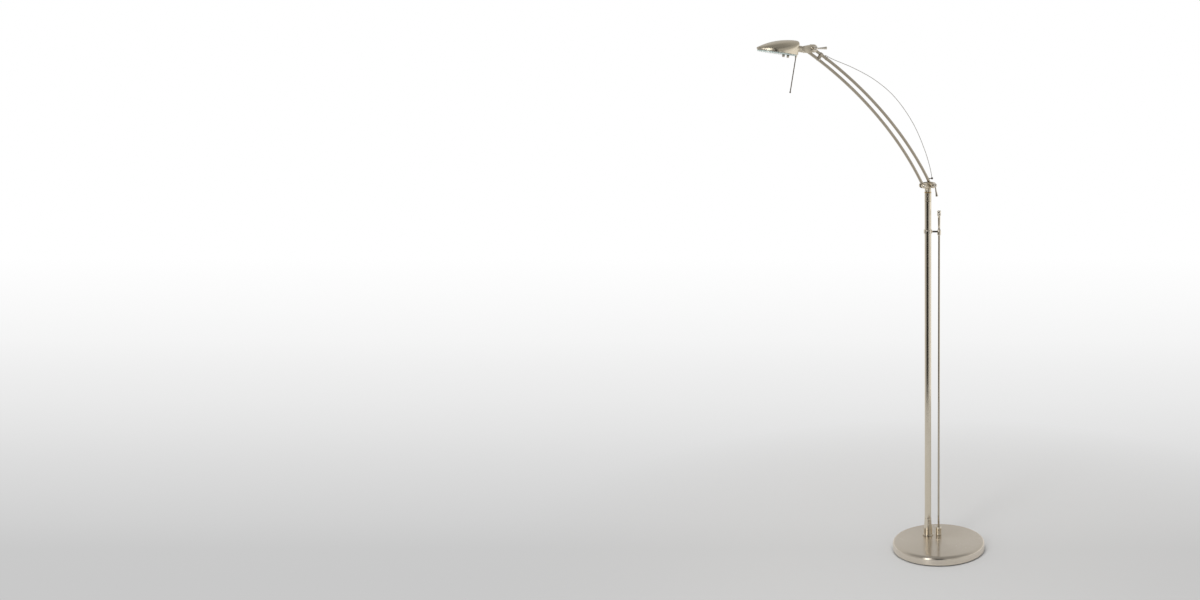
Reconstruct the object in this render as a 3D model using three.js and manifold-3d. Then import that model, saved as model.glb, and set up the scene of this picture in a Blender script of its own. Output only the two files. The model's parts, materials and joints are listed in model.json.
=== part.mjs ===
// Pharmacy floor lamp: weighted round base, tube stem, swivelling yoke, twin curved rods that keep
// a halogen head level, and a leaf-shaped metal shade over a glass plate. Millimetres, +Z up.
// The origin is the centre of the base's underside and the arm reaches towards -X at rest.

import * as THREE from 'three';
import { mergeVertices } from 'three/addons/utils/BufferGeometryUtils.js';
import Module from 'manifold-3d';

const wasm = await Module();
wasm.setup();

// ---------------------------------------------------------------- driving dimensions
const gap = 0.3;                 // air left between pieces that touch on the real lamp

// base
const baseRadius = 133;
const baseHeight = 28;
const baseWall = 1.5;
const baseEdgeRun = 11;          // how far in the rounded shoulder reaches
const baseEdgeDrop = 9.5;         // how far down the rounded shoulder reaches
const feltThickness = 2;
const plateThickness = 2;
const plateInset = 4;            // plate and felt stop this far inside the cover
const weightHeight = 18;
const weightInset = 17;          // weight stops this far inside the cover
const screwCircle = 92;
const screwRadius = 2;
const screwCount = 3;
const grommetRadius = 5;
const grommetBore = 2.6;

// stem
const stemX = -8;
const stemY = 48;
const stemRadius = 9.5;
const stemWall = 1.3;
const stemTop = 1007;
const footHeight = 52;
const footRadius = 12.3;
const footFlangeRadius = 15.5;
const nippleRadius = 5;
const nippleBore = 3.4;
const socketHeight = 24;         // swivel socket above the stem tube
const washerThickness = 1.6;
const washerProud = 0.6;

// dimmer
const dimmerX = 26.8;            // from the stem axis
const dimmerY = -15.5;
const dimmerRodRadius = 2.8;
const dimmerTop = 981;
const dimmerCapRadius = 5.3;
const dimmerCapHeight = 15;
const dimmerGripHeight = 34;
const guideHeight = 18;
const guideRadius = 5.2;
const bracketScrewRadius = 1.5;
const dimmerSocketRadius = 8.6;
const dimmerSocketHeight = 26;

// yoke and the parallel rods
const linkX = -23.7;             // from the main pivot to the follower pivot
const linkZ = -1.5;
const mainPivotX = 7.6;          // from the stem axis
const pivotHeight = 20;          // main pivot above the swivel washer
const barrelRadius = 8.3;
const followerBossRadius = 7.4;
const yokeHalfWidth = 9;
const bossLength = 9;            // the barrel boss in front of the yoke
const eyeRadius = 5.9;
const eyeHalfWidth = 3.9;
const slotSide = 0.4;            // clearance beside an eye and its rod
const pinRadius = 2.6;
const pinClearance = 0.3;
const postRadius = 8.9;
const rodRadius = 4;
const armRun = 352.2;            // main pivot to knuckle pivot, level
const armRise = 374.6;             // main pivot to knuckle pivot, upwards
const armStartAngle = 62.5;      // rod direction above level at the foot, degrees
const armEndAngle = 33;          // rod direction above level at the top, degrees
const forkPlace = 0.945;         // share of the rod's length where the guide fork sits
const forkReach = 18.4;
const forkCheek = 1;
const forkSleeve = 7;             // length of the fork's sleeve on the main rod
const forkWidth = 6;             // width of its two cheeks along the rod
const wireRadius = 0.8;
const wireBallRadius = 3.1;
const stubRadius = 1.3;

// levers
const leverLength = 31;
const leverBallRadius = 5.4;
const leverNeckRadius = 2;
const leverEndRadius = 3.9;
const leverStemRadius = 2.4;

// knuckle and neck
const knuckleRadius = 10.4;
const knuckleHalfWidth = 8.6;
const coverRadius = 8;
const coverThickness = 2.2;
const neckRadius = 8.3;
const neckTilt = 8.3;            // neck and head above level, degrees
const neckX = 44;                // knuckle pivot to the back of the head, level
const neckZ = 0.2;               // and upwards
const neckSleeveLength = 10.5;
const neckBore = 4.6;

// head, in its own frame: x from the neck to the tip, z up, y across
const headLength = 111;
const headHalfWidth = 42;
const shadeWall = 1.4;
const glassTop = -17;
const glassThickness = 3.6;
const glassInset = 4;
const glassRear = 8;             // the glass starts this far behind its inset from the rear
const rimInset = 1.8;
const rimWall = 1.6;
const studX = 29;
const studY = 14;
const studRadius = 1.6;
const nutRadius = 3.3;
const nearNutHeight = 6.4;
const farNutHeight = 5;
const wandX = 4;
const wandY = 8;
const wandLength = 94;
const wandRadius = 1.4;
const wandLean = -3;             // degrees off the head's own vertical
const bulbRadius = 5.5;
const bulbLength = 26;

// ---------------------------------------------------------------- worked-out places
const plateBottom = feltThickness + gap;
const weightBottom = plateBottom + plateThickness + gap;
const coverBottom = feltThickness + gap;
const socketTop = stemTop + socketHeight;
const washerBottom = socketTop + gap;
const washerTop = washerBottom + washerThickness;
const pivotZ = washerTop + pivotHeight;
const mainPivot = new THREE.Vector3(stemX + mainPivotX, stemY, pivotZ);
const link = new THREE.Vector3(linkX, 0, linkZ);
const followerPivot = mainPivot.clone().add(link);
const kneePivot = mainPivot.clone().add(new THREE.Vector3(-armRun, 0, armRise));
const kneeFollower = kneePivot.clone().add(link);
const dimmer = new THREE.Vector3(stemX + dimmerX, stemY + dimmerY, 0);
const headOrigin = kneePivot.clone().add(new THREE.Vector3(-neckX, 0, neckZ));
const slotHalf = Math.max(eyeHalfWidth, rodRadius) + slotSide;
const across = new THREE.Vector3(0, 1, 0);

// ---------------------------------------------------------------- finishes
const finish = (color, roughness, metalness) => () => new THREE.MeshStandardMaterial({
  color, roughness, metalness,
});
const satinNickel = finish(0xb9b2a6, 0.34, 1);
const polishedNickel = finish(0xcfc8bb, 0.16, 1);
const brass = finish(0xb08d4c, 0.3, 1);
const castIron = finish(0x3c3c3e, 0.8, 0.4);
const zincSteel = finish(0xa8abb0, 0.45, 1);
const blackPlastic = finish(0x18181a, 0.5, 0);
const felt = finish(0x22231f, 0.95, 0);
const ceramic = finish(0xe9e5da, 0.5, 0);
const clearGlass = () => new THREE.MeshStandardMaterial({
  color: 0xbfe0d6, roughness: 0.06, metalness: 0, transparent: true, opacity: 0.5,
});

// ---------------------------------------------------------------- helpers
const toSolid = (geometry) => {
  const plain = geometry.index ? geometry.clone() : mergeVertices(geometry);
  plain.deleteAttribute('normal');
  plain.deleteAttribute('uv');
  const merged = mergeVertices(plain, 1e-4);
  return new wasm.Manifold(new wasm.Mesh({
    numProp: 3,
    vertProperties: new Float32Array(merged.attributes.position.array),
    triVerts: new Uint32Array(merged.index.array),
  }));
};

const toGeometry = (manifold) => {
  const mesh = manifold.getMesh();
  const geometry = new THREE.BufferGeometry();
  geometry.setAttribute('position', new THREE.BufferAttribute(new Float32Array(mesh.vertProperties), 3));
  geometry.setIndex([...mesh.triVerts]);
  geometry.computeVertexNormals();
  return geometry;
};

const join = (...pieces) => toGeometry(pieces.map(toSolid).reduce((a, b) => a.add(b)));
const cut = (body, ...tools) => toGeometry(tools.map(toSolid).reduce((a, b) => a.subtract(b), toSolid(body)));

// a solid of revolution about +Z from [radius, height] pairs
const turned = (pairs, segments = 24) => {
  const points = pairs.map(([r, z]) => new THREE.Vector2(r, z));
  if (points[0].x > 0) points.push(points[0].clone());
  const geometry = new THREE.LatheGeometry(points, segments);
  geometry.rotateX(Math.PI / 2);
  return outward(geometry);
};

// faces point out whichever way round the profile was drawn
const outward = (geometry) => {
  const plain = geometry.clone();
  plain.deleteAttribute('normal');
  plain.deleteAttribute('uv');
  const merged = mergeVertices(plain, 1e-4);
  const p = merged.attributes.position;
  const source = merged.index.array;
  const index = [];
  let volume = 0;
  const [a, b, c] = [new THREE.Vector3(), new THREE.Vector3(), new THREE.Vector3()];
  for (let i = 0; i < source.length; i += 3) {
    const [i0, i1, i2] = [source[i], source[i + 1], source[i + 2]];
    if (i0 === i1 || i1 === i2 || i0 === i2) continue;
    a.fromBufferAttribute(p, i0);
    b.fromBufferAttribute(p, i1);
    c.fromBufferAttribute(p, i2);
    volume += a.dot(b.clone().cross(c));
    index.push(i0, i1, i2);
  }
  if (volume < 0) index.reverse();
  merged.setIndex(index);
  merged.computeVertexNormals();
  return merged;
};

const rod = (radius, from, to, segments = 20, endRadius = radius) => {
  const axis = to.clone().sub(from);
  const geometry = new THREE.CylinderGeometry(endRadius, radius, axis.length(), segments);
  geometry.applyQuaternion(new THREE.Quaternion().setFromUnitVectors(across, axis.clone().normalize()));
  geometry.translate(...from.clone().add(to).multiplyScalar(0.5).toArray());
  return geometry;
};

const upright = (radius, x, y, from, to, segments) =>
  rod(radius, new THREE.Vector3(x, y, from), new THREE.Vector3(x, y, to), segments);

const crosswise = (radius, place, from, to, segments) =>
  rod(radius, new THREE.Vector3(place.x, from, place.z), new THREE.Vector3(place.x, to, place.z), segments);

const block = (x0, x1, y0, y1, z0, z1) => {
  const geometry = new THREE.BoxGeometry(x1 - x0, y1 - y0, z1 - z0);
  geometry.translate((x0 + x1) / 2, (y0 + y1) / 2, (z0 + z1) / 2);
  return geometry;
};

const ball = (radius, place, segments = 20) => {
  const geometry = new THREE.SphereGeometry(radius, segments, segments / 2 + 2);
  geometry.translate(place.x, place.y, place.z);
  return outward(geometry);
};

// a round bar of the given radius along a curve
const bar = (curve, radius, sides, steps) => {
  const section = new THREE.Shape();
  for (let i = 0; i < sides; i += 1) {
    const angle = (i / sides) * Math.PI * 2;
    const [x, y] = [Math.cos(angle) * radius, Math.sin(angle) * radius];
    if (i === 0) section.moveTo(x, y);
    else section.lineTo(x, y);
  }
  return outward(new THREE.ExtrudeGeometry(section, { steps, bevelEnabled: false, extrudePath: curve }));
};

// a value that runs smoothly through [place, value] pairs
const smoothAlong = (pairs, x) => {
  const last = pairs.length - 1;
  let i = 0;
  while (i < last - 1 && x > pairs[i + 1][0]) i += 1;
  const slope = (k) => {
    const lower = pairs[Math.max(k - 1, 0)];
    const upper = pairs[Math.min(k + 1, last)];
    return (upper[1] - lower[1]) / (upper[0] - lower[0]);
  };
  const [x0, v0] = pairs[i];
  const [x1, v1] = pairs[i + 1];
  const run = x1 - x0;
  const t = Math.min(Math.max((x - x0) / run, 0), 1);
  const blend = t * t * (3 - 2 * t);
  const ease = t * (1 - t);
  return v0 + (v1 - v0) * blend + run * ease * (slope(i) * (1 - t) - slope(i + 1) * t);
};

const lamp = new THREE.Group();
const place = (name, geometry, material, parent = lamp) => {
  const mesh = new THREE.Mesh(outward(geometry), material());
  mesh.name = name;
  parent.add(mesh);
  return mesh;
};
const turnedAt = (pairs, x, y, segments) => {
  const geometry = turned(pairs, segments);
  geometry.translate(x, y, 0);
  return geometry;
};

// a hexagon nut on the stem's axis
const hexNut = (cornerRadius, bore, bottom, top) => cut(
  upright(cornerRadius, stemX, stemY, bottom, top, 6),
  upright(bore, stemX, stemY, bottom - 1, top + 1, 20),
);

// ---------------------------------------------------------------- base
const shoulder = (radius, height, run, drop, steps) => {
  const arc = [];
  for (let i = 0; i <= steps; i += 1) {
    const angle = (i / steps) * (Math.PI / 2);
    arc.push([radius - run + run * Math.sin(angle), height - drop + drop * Math.cos(angle)]);
  }
  return arc;
};

const baseCover = () => {
  const outer = shoulder(baseRadius, baseHeight, baseEdgeRun, baseEdgeDrop, 6);
  const inner = shoulder(
    baseRadius - baseWall,
    baseHeight - baseWall,
    baseEdgeRun - baseWall,
    baseEdgeDrop - baseWall,
    6,
  );
  const shell = turned([
    [0, baseHeight],
    ...outer,
    [baseRadius, coverBottom],
    [baseRadius - baseWall, coverBottom],
    ...inner.reverse(),
    [0, baseHeight - baseWall],
  ], 48);
  return cut(
    shell,
    upright(nippleRadius + gap, stemX, stemY, baseHeight - 5, baseHeight + 5, 24),
    upright(dimmerRodRadius + 2 * gap, dimmer.x, dimmer.y, baseHeight - 5, baseHeight + 5, 24),
    rod(
      grommetRadius + gap,
      new THREE.Vector3(0, baseRadius - 12, coverBottom + grommetRadius + 2),
      new THREE.Vector3(0, baseRadius + 8, coverBottom + grommetRadius + 2),
      20,
    ),
  );
};

const weightTop = weightBottom + weightHeight;
const screwPlaces = Array.from({ length: screwCount }, (_, i) => {
  const angle = Math.PI / 6 + (i / screwCount) * Math.PI * 2;
  return [Math.cos(angle) * screwCircle, Math.sin(angle) * screwCircle];
});
const moduleSize = { x: 30, y: 24, z: 12 };
const nutPocketHeight = 5;

const baseWeight = () => cut(
  turned([
    [0, weightBottom],
    [baseRadius - weightInset, weightBottom],
    [baseRadius - weightInset, weightTop - 4],
    [baseRadius - weightInset - 4, weightTop],
    [0, weightTop],
  ], 48),
  upright(nippleRadius + gap, stemX, stemY, weightBottom - 1, weightTop + 1, 24),
  upright(nippleRadius + 5.5, stemX, stemY, weightBottom - 1, weightBottom + nutPocketHeight + gap, 24),
  block(
    dimmer.x - moduleSize.x / 2 - 1,
    dimmer.x + moduleSize.x / 2 + 1,
    dimmer.y - moduleSize.y / 2 - 1,
    dimmer.y + moduleSize.y / 2 + 1,
    weightTop - moduleSize.z - gap,
    weightTop + 1,
  ),
  ...screwPlaces.map(([x, y]) => upright(screwRadius + gap, x, y, weightBottom - 1, weightTop + 1, 16)),
);

place('base_cover', baseCover(), satinNickel);
place('base_weight', baseWeight(), castIron);
place('base_plate', cut(
  turned([
    [0, plateBottom],
    [baseRadius - plateInset, plateBottom],
    [baseRadius - plateInset, plateBottom + plateThickness],
    [0, plateBottom + plateThickness],
  ], 48),
  ...screwPlaces.map(([x, y]) => upright(screwRadius + gap, x, y, plateBottom - 1, weightBottom, 16)),
), zincSteel);
place('felt_pad', turned([
  [0, 0],
  [baseRadius - plateInset, 0],
  [baseRadius - plateInset, feltThickness],
  [0, feltThickness],
], 48), felt);
screwPlaces.forEach(([x, y], i) => {
  place(`plate_screw_${i + 1}`, upright(screwRadius, x, y, plateBottom + gap, weightTop - 3, 12), zincSteel);
});
place('cord_grommet', (() => {
  const ring = turned([
    [grommetBore, -5],
    [grommetRadius, -5],
    [grommetRadius, 3],
    [grommetRadius - 0.8, 4],
    [grommetBore, 4],
  ], 20);
  ring.rotateX(-Math.PI / 2);
  ring.translate(0, baseRadius, coverBottom + grommetRadius + 2);
  return ring;
})(), blackPlastic);
place('stem_nipple', turnedAt([
  [nippleBore, weightBottom + gap],
  [nippleRadius, weightBottom + gap],
  [nippleRadius, baseHeight + footHeight - 12],
  [nippleBore, baseHeight + footHeight - 12],
], stemX, stemY, 24), zincSteel);
place('nipple_nut', hexNut(
  nippleRadius + 4.5, nippleRadius + gap, weightBottom + gap, weightBottom + nutPocketHeight,
), brass);
place('dimmer_module', (() => cut(
  block(
    dimmer.x - moduleSize.x / 2,
    dimmer.x + moduleSize.x / 2,
    dimmer.y - moduleSize.y / 2,
    dimmer.y + moduleSize.y / 2,
    weightTop - moduleSize.z,
    weightTop,
  ),
  upright(dimmerRodRadius + 2 * gap, dimmer.x, dimmer.y, weightTop - 6, weightTop + 1, 20),
))(), blackPlastic);

// ---------------------------------------------------------------- stem
const tubeInner = stemRadius - stemWall;
const footBottom = baseHeight + gap;
const footProfile = () => {
  const arc = [];
  const steps = 6;
  for (let i = 0; i <= steps; i += 1) {
    const t = i / steps;
    const swell = 0.5 + 0.5 * Math.cos(Math.PI * t);
    arc.push([stemRadius + 1 + (footRadius - stemRadius - 1) * swell, footBottom + 6 + (footHeight - 8) * t]);
  }
  return arc;
};
place('stem_foot', turnedAt([
  [nippleRadius + gap, footBottom],
  [footFlangeRadius, footBottom],
  [footFlangeRadius, footBottom + 2.6],
  [footRadius, footBottom + 4],
  ...footProfile(),
  [stemRadius + 0.7, footBottom + footHeight],
  [stemRadius + gap, footBottom + footHeight],
  [stemRadius + gap, footBottom + 10],
  [nippleRadius + gap, footBottom + 10],
], stemX, stemY, 24), satinNickel);
const tubeBottom = footBottom + 10 + gap;
place('stem_tube', turnedAt([
  [tubeInner, tubeBottom],
  [stemRadius, tubeBottom],
  [stemRadius, stemTop],
  [tubeInner, stemTop],
], stemX, stemY, 24), satinNickel);

const spindleRadius = 4.2;
const spindleDepth = 30;         // below the stem's top
place('swivel_socket', turnedAt([
  [spindleRadius + gap, stemTop - 18],
  [tubeInner - gap, stemTop - 18],
  [tubeInner - gap, stemTop + gap],
  [stemRadius, stemTop + gap],
  [stemRadius, socketTop],
  [spindleRadius + gap, socketTop],
], stemX, stemY, 24), satinNickel);
place('swivel_washer', turnedAt([
  [spindleRadius + gap, washerBottom],
  [stemRadius + washerProud, washerBottom],
  [stemRadius + washerProud, washerTop],
  [spindleRadius + gap, washerTop],
], stemX, stemY, 24), brass);

// ---------------------------------------------------------------- dimmer control
const guideTop = dimmerTop - dimmerCapHeight - dimmerGripHeight - 3;
const guideBottom = guideTop - guideHeight;
const armHeight = (guideTop + guideBottom) / 2 + 2;
const guideBore = dimmerRodRadius + 2 * gap;
const bracketReach = Math.hypot(dimmerX, dimmerY);
const bracketTurn = Math.atan2(dimmerY, dimmerX);
place('dimmer_bracket', cut(
  join(
    turnedAt([
      [stemRadius + gap, armHeight - 5],
      [stemRadius + 2.3, armHeight - 5],
      [stemRadius + 2.3, armHeight + 5],
      [stemRadius + gap, armHeight + 5],
    ], stemX, stemY, 24),
    (() => {
      const arm = block(stemRadius + 1.6, bracketReach - 2, -3, 3, armHeight - 2.2, armHeight + 2.2);
      arm.rotateZ(bracketTurn);
      arm.translate(stemX, stemY, 0);
      return arm;
    })(),
    turnedAt([
      [0, guideBottom],
      [guideRadius - 1.2, guideBottom],
      [guideRadius, guideBottom + 3],
      [guideRadius, guideTop - 5],
      [guideRadius - 1.6, guideTop],
      [0, guideTop],
    ], dimmer.x, dimmer.y, 24),
  ),
  upright(guideBore, dimmer.x, dimmer.y, guideBottom - 1, guideTop + 1, 20),
  rod(
    bracketScrewRadius + gap,
    new THREE.Vector3(stemX, stemY + stemRadius, armHeight),
    new THREE.Vector3(stemX, stemY + stemRadius + 6, armHeight),
    12,
  ),
), satinNickel);
place('bracket_screw', rod(
  bracketScrewRadius,
  new THREE.Vector3(stemX, stemY + stemRadius + gap, armHeight),
  new THREE.Vector3(stemX, stemY + stemRadius + 3.4, armHeight),
  12,
), zincSteel);
place('dimmer_socket', turnedAt([
  [dimmerRodRadius + gap * 2, footBottom],
  [dimmerSocketRadius, footBottom],
  [dimmerSocketRadius, footBottom + dimmerSocketHeight - 4],
  [dimmerSocketRadius - 1.4, footBottom + dimmerSocketHeight - 1],
  [dimmerRodRadius + 2.4, footBottom + dimmerSocketHeight],
  [dimmerRodRadius + gap * 2, footBottom + dimmerSocketHeight],
], dimmer.x, dimmer.y, 28), satinNickel);
const gripBottom = dimmerTop - dimmerCapHeight - dimmerGripHeight;
place('dimmer_rod', upright(
  dimmerRodRadius, dimmer.x, dimmer.y, weightTop - 5, gripBottom, 16,
), satinNickel);
place('dimmer_grip', turnedAt([
  [0, gripBottom + gap],
  [3.2, gripBottom + gap],
  [3.6, gripBottom + dimmerGripHeight - gap],
  [0, gripBottom + dimmerGripHeight - gap],
], dimmer.x, dimmer.y, 20), satinNickel);
place('dimmer_cap', turnedAt([
  [0, dimmerTop - dimmerCapHeight],
  [dimmerCapRadius - 1, dimmerTop - dimmerCapHeight],
  [dimmerCapRadius, dimmerTop - dimmerCapHeight + 1],
  [dimmerCapRadius, dimmerTop - 1.2],
  [dimmerCapRadius - 1.2, dimmerTop],
  [0, dimmerTop],
], dimmer.x, dimmer.y, 24), polishedNickel);

// ---------------------------------------------------------------- yoke
const linkSlotFloor = eyeRadius + 0.6;
const yokeFront = stemY - yokeHalfWidth;
const bossFront = yokeFront - bossLength;
const hullBlock = (from, to, radiusFrom, radiusTo, y0, y1) => {
  const outline = new THREE.Shape();
  const turn = Math.atan2(to.z - from.z, to.x - from.x);
  const spread = Math.acos((radiusFrom - radiusTo) / Math.hypot(to.x - from.x, to.z - from.z));
  outline.absarc(to.x, to.z, radiusTo, turn - spread, turn + spread, false);
  outline.absarc(from.x, from.z, radiusFrom, turn + spread, turn - spread + Math.PI * 2, false);
  const geometry = new THREE.ExtrudeGeometry(outline, {
    depth: y1 - y0, bevelEnabled: false, curveSegments: 10,
  });
  geometry.rotateX(Math.PI / 2);
  geometry.translate(0, y1, 0);
  return outward(geometry);
};
const yokeSlot = block(
  followerPivot.x - followerBossRadius - 4,
  mainPivot.x + barrelRadius + 4,
  stemY - slotHalf,
  stemY + slotHalf,
  followerPivot.z - linkSlotFloor,
  mainPivot.z + barrelRadius + 6,
);
place('yoke', cut(
  join(
    hullBlock(mainPivot, followerPivot, barrelRadius, followerBossRadius, yokeFront, stemY + yokeHalfWidth),
    crosswise(barrelRadius, mainPivot, bossFront, yokeFront + 1, 24),
    turnedAt([
      [0, washerTop + gap],
      [postRadius, washerTop + gap],
      [postRadius, mainPivot.z - barrelRadius - 1],
      [postRadius - 0.6, mainPivot.z - linkSlotFloor - 0.6],
      [0, mainPivot.z - linkSlotFloor - 0.6],
    ], stemX, stemY, 24),
  ),
  yokeSlot,
  crosswise(pinRadius + pinClearance, mainPivot, bossFront - 1, stemY + yokeHalfWidth + 1, 20),
  crosswise(pinRadius + pinClearance, followerPivot, yokeFront - 1, stemY + yokeHalfWidth + 1, 20),
  upright(spindleRadius + 0.01, stemX, stemY, washerTop - 1, washerTop + 7, 24),
), satinNickel);
place('yoke_spindle', upright(
  spindleRadius - gap, stemX, stemY, stemTop - spindleDepth, washerTop + 6.6, 24,
), zincSteel);
place('spindle_nut', hexNut(tubeInner - 0.6, spindleRadius, stemTop - 23, stemTop - 19), brass);
place('main_pin', crosswise(
  pinRadius, mainPivot, bossFront + 4, stemY + yokeHalfWidth - 1, 20,
), zincSteel);
place('follower_pin', crosswise(
  pinRadius, followerPivot, yokeFront + 0.5, stemY + yokeHalfWidth - 1, 20,
), zincSteel);
place('follower_pin_cap', (() => {
  const cap = turned([
    [0, 0],
    [4.8, 0],
    [4.8, 1.2],
    [3.2, 2.6],
    [0, 3],
  ], 24);
  cap.rotateX(Math.PI / 2);
  cap.translate(followerPivot.x, yokeFront - gap, followerPivot.z);
  return cap;
})(), polishedNickel);

// ---------------------------------------------------------------- clamp levers
const leverHub = (pivot, faceY) => {
  const hub = turned([
    [0, 0],
    [3, 0],
    [3, 3],
    ...Array.from({ length: 7 }, (_, i) => {
      const angle = -Math.PI / 2 + 0.6 + (i / 6) * (Math.PI - 0.6);
      return [leverBallRadius * Math.cos(angle), 2.6 + leverBallRadius * (1 + Math.sin(angle))];
    }).map(([r, z], i) => (i === 6 ? [0, z] : [r, z])),
  ], 18);
  hub.rotateX(Math.PI / 2);
  hub.translate(pivot.x, faceY - gap, pivot.z);
  return hub;
};
const leverBallY = (faceY) => faceY - gap - 2.6 - leverBallRadius;
const leverHandle = (pivot, faceY, angle) => {
  const flare = 4;
  const handle = turned([
    [0, leverBallRadius + gap],
    [leverNeckRadius, leverBallRadius + gap],
    [leverStemRadius, leverLength * 0.5],
    [leverEndRadius * 0.8, leverLength - flare],
    [leverEndRadius, leverLength - 1],
    [leverEndRadius - 0.7, leverLength],
    [0, leverLength],
  ], 16);
  handle.rotateY(angle);
  handle.translate(pivot.x, leverBallY(faceY), pivot.z);
  return handle;
};
const toAngle = (degrees) => THREE.MathUtils.degToRad(degrees);
place('lower_lever_hub', leverHub(mainPivot, bossFront), polishedNickel);
place('lower_lever_handle', leverHandle(mainPivot, bossFront, toAngle(169)), polishedNickel);

// ---------------------------------------------------------------- curved rods
const chord = Math.hypot(armRun, armRise);
const armDirection = (degrees) => new THREE.Vector3(-Math.cos(toAngle(degrees)), 0, Math.sin(toAngle(degrees)));
const armCurve = new THREE.CubicBezierCurve3(
  mainPivot.clone(),
  mainPivot.clone().addScaledVector(armDirection(armStartAngle), chord * 0.3),
  kneePivot.clone().addScaledVector(armDirection(armEndAngle), -chord * 0.36),
  kneePivot.clone(),
);
const rodWithEyes = () => cut(
  join(
    bar(armCurve, rodRadius, 10, 30),
    crosswise(eyeRadius, mainPivot, stemY - eyeHalfWidth, stemY + eyeHalfWidth, 24),
    crosswise(eyeRadius, kneePivot, stemY - eyeHalfWidth, stemY + eyeHalfWidth, 24),
  ),
  crosswise(pinRadius + pinClearance, mainPivot, stemY - 8, stemY + 8, 20),
  crosswise(pinRadius + pinClearance, kneePivot, stemY - 8, stemY + 8, 20),
);
place('main_rod', rodWithEyes(), satinNickel);
const follower = rodWithEyes();
follower.translate(link.x, link.y, link.z);
place('follower_rod', follower, satinNickel);

// the guide fork rides on the main rod and straddles the follower rod
const forkPoint = armCurve.getPointAt(forkPlace);
const forkTangent = armCurve.getTangentAt(forkPlace);
const forkSide = new THREE.Vector3(-forkTangent.z, 0, forkTangent.x);
if (forkSide.dot(link) < 0) forkSide.negate();
const forkHalf = rodRadius + gap + forkCheek;
const forkGeometry = () => {
  const body = join(
    block(-forkSleeve / 2, forkSleeve / 2, -forkHalf, forkHalf, -forkHalf, rodRadius + 1.8),
    block(-forkWidth / 2, forkWidth / 2, -forkHalf, forkHalf, 0, forkReach),
  );
  const shaped = cut(
    body,
    rod(rodRadius + gap, new THREE.Vector3(-9, 0, 0), new THREE.Vector3(9, 0, 0), 20),
    block(-9, 9, -rodRadius - gap, rodRadius + gap, rodRadius + 1.2, forkReach + 1),
  );
  const turn = new THREE.Matrix4().makeBasis(forkTangent, forkSide.clone().cross(forkTangent), forkSide);
  shaped.applyMatrix4(turn);
  shaped.translate(forkPoint.x, forkPoint.y, forkPoint.z);
  return shaped;
};
place('guide_fork', forkGeometry(), satinNickel);

// the bow wire stands off the main rod from its foot to its top end
const fromPivot = (x, z) => new THREE.Vector3(mainPivot.x + x, stemY, mainPivot.z + z);
const wireBall = fromPivot(5.4, 17);
const wireEnd = armCurve.getPointAt(0.9);
const wireLift = new THREE.Vector3(0, 0, rodRadius + wireRadius + gap);
const wireCurve = new THREE.CatmullRomCurve3([
  fromPivot(4.6, 20.9),
  fromPivot(-0.3, 44.2),
  fromPivot(-17.8, 96),
  fromPivot(-54.7, 170.9),
  fromPivot(-111.7, 243.7),
  fromPivot(-171.1, 290),
  fromPivot(-235.6, 323),
  wireEnd.clone().add(wireLift).add(new THREE.Vector3(12, 0, -3)),
  wireEnd.clone().add(wireLift).add(new THREE.Vector3(-8, 0, 7)),
]);
place('bow_wire', bar(wireCurve, wireRadius, 6, 44), blackPlastic);
place('wire_ball', ball(wireBallRadius, wireBall, 16), blackPlastic);
const stubFoot = armCurve.getPointAt(0.036);
const stubAxis = wireBall.clone().sub(stubFoot).normalize();
place('wire_stub', rod(
  stubRadius,
  stubFoot.clone().addScaledVector(stubAxis, rodRadius + 3 * gap),
  wireBall.clone().addScaledVector(stubAxis, -wireBallRadius - gap),
  12,
), blackPlastic);

// ---------------------------------------------------------------- knuckle
const neckAxis = new THREE.Vector3(-Math.cos(toAngle(neckTilt)), 0, Math.sin(toAngle(neckTilt)));
const sleeveBack = headOrigin.clone().addScaledVector(neckAxis, -neckSleeveLength);
const neckBack = headOrigin.clone().addScaledVector(neckAxis, coverRadius + 3 - neckX);
const kneeFront = stemY - knuckleHalfWidth;
place('knuckle', cut(
  join(
    crosswise(knuckleRadius, kneePivot, kneeFront, stemY + knuckleHalfWidth, 28),
    hullBlock(
      kneePivot,
      kneeFollower.clone().add(new THREE.Vector3(3, 0, -1)),
      knuckleRadius - 0.4,
      neckRadius + 0.5,
      kneeFront + 0.3,
      stemY + knuckleHalfWidth - 0.3,
    ),
    rod(neckRadius, neckBack, sleeveBack.clone().addScaledVector(neckAxis, -gap), 24),
  ),
  block(
    kneeFollower.x - eyeRadius - 0.6,
    kneePivot.x + knuckleRadius + 3,
    stemY - slotHalf,
    stemY + slotHalf,
    kneePivot.z - knuckleRadius - 12,
    kneePivot.z + eyeRadius + 0.6,
  ),
  crosswise(pinRadius + pinClearance, kneePivot, stemY - 20, stemY + 20, 20),
  crosswise(pinRadius + pinClearance, kneeFollower, stemY - 20, stemY + 20, 20),
), satinNickel);
place('knee_pin', crosswise(
  pinRadius, kneePivot, kneeFront + 0.6, stemY + knuckleHalfWidth - 0.6, 20,
), zincSteel);
place('knee_follower_pin', crosswise(
  pinRadius, kneeFollower, kneeFront + 0.6, stemY + knuckleHalfWidth - 0.6, 20,
), zincSteel);
place('knuckle_cover', (() => {
  const ring = turned([
    [0, 0],
    [coverRadius, 0],
    [coverRadius, coverThickness - 0.8],
    [coverRadius - 1.2, coverThickness],
    [coverRadius - 2.6, coverThickness],
    [coverRadius - 3, coverThickness - 0.7],
    [coverRadius - 4.2, coverThickness - 0.7],
    [coverRadius - 4.2, coverThickness],
    [0, coverThickness],
  ], 32);
  ring.rotateX(Math.PI / 2);
  ring.translate(kneePivot.x, kneeFront - gap, kneePivot.z);
  return ring;
})(), polishedNickel);
const coverFace = kneeFront - gap - coverThickness;
place('upper_lever_hub', leverHub(kneePivot, coverFace), polishedNickel);
place('upper_lever_handle', leverHandle(kneePivot, coverFace, toAngle(88)), polishedNickel);

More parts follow.
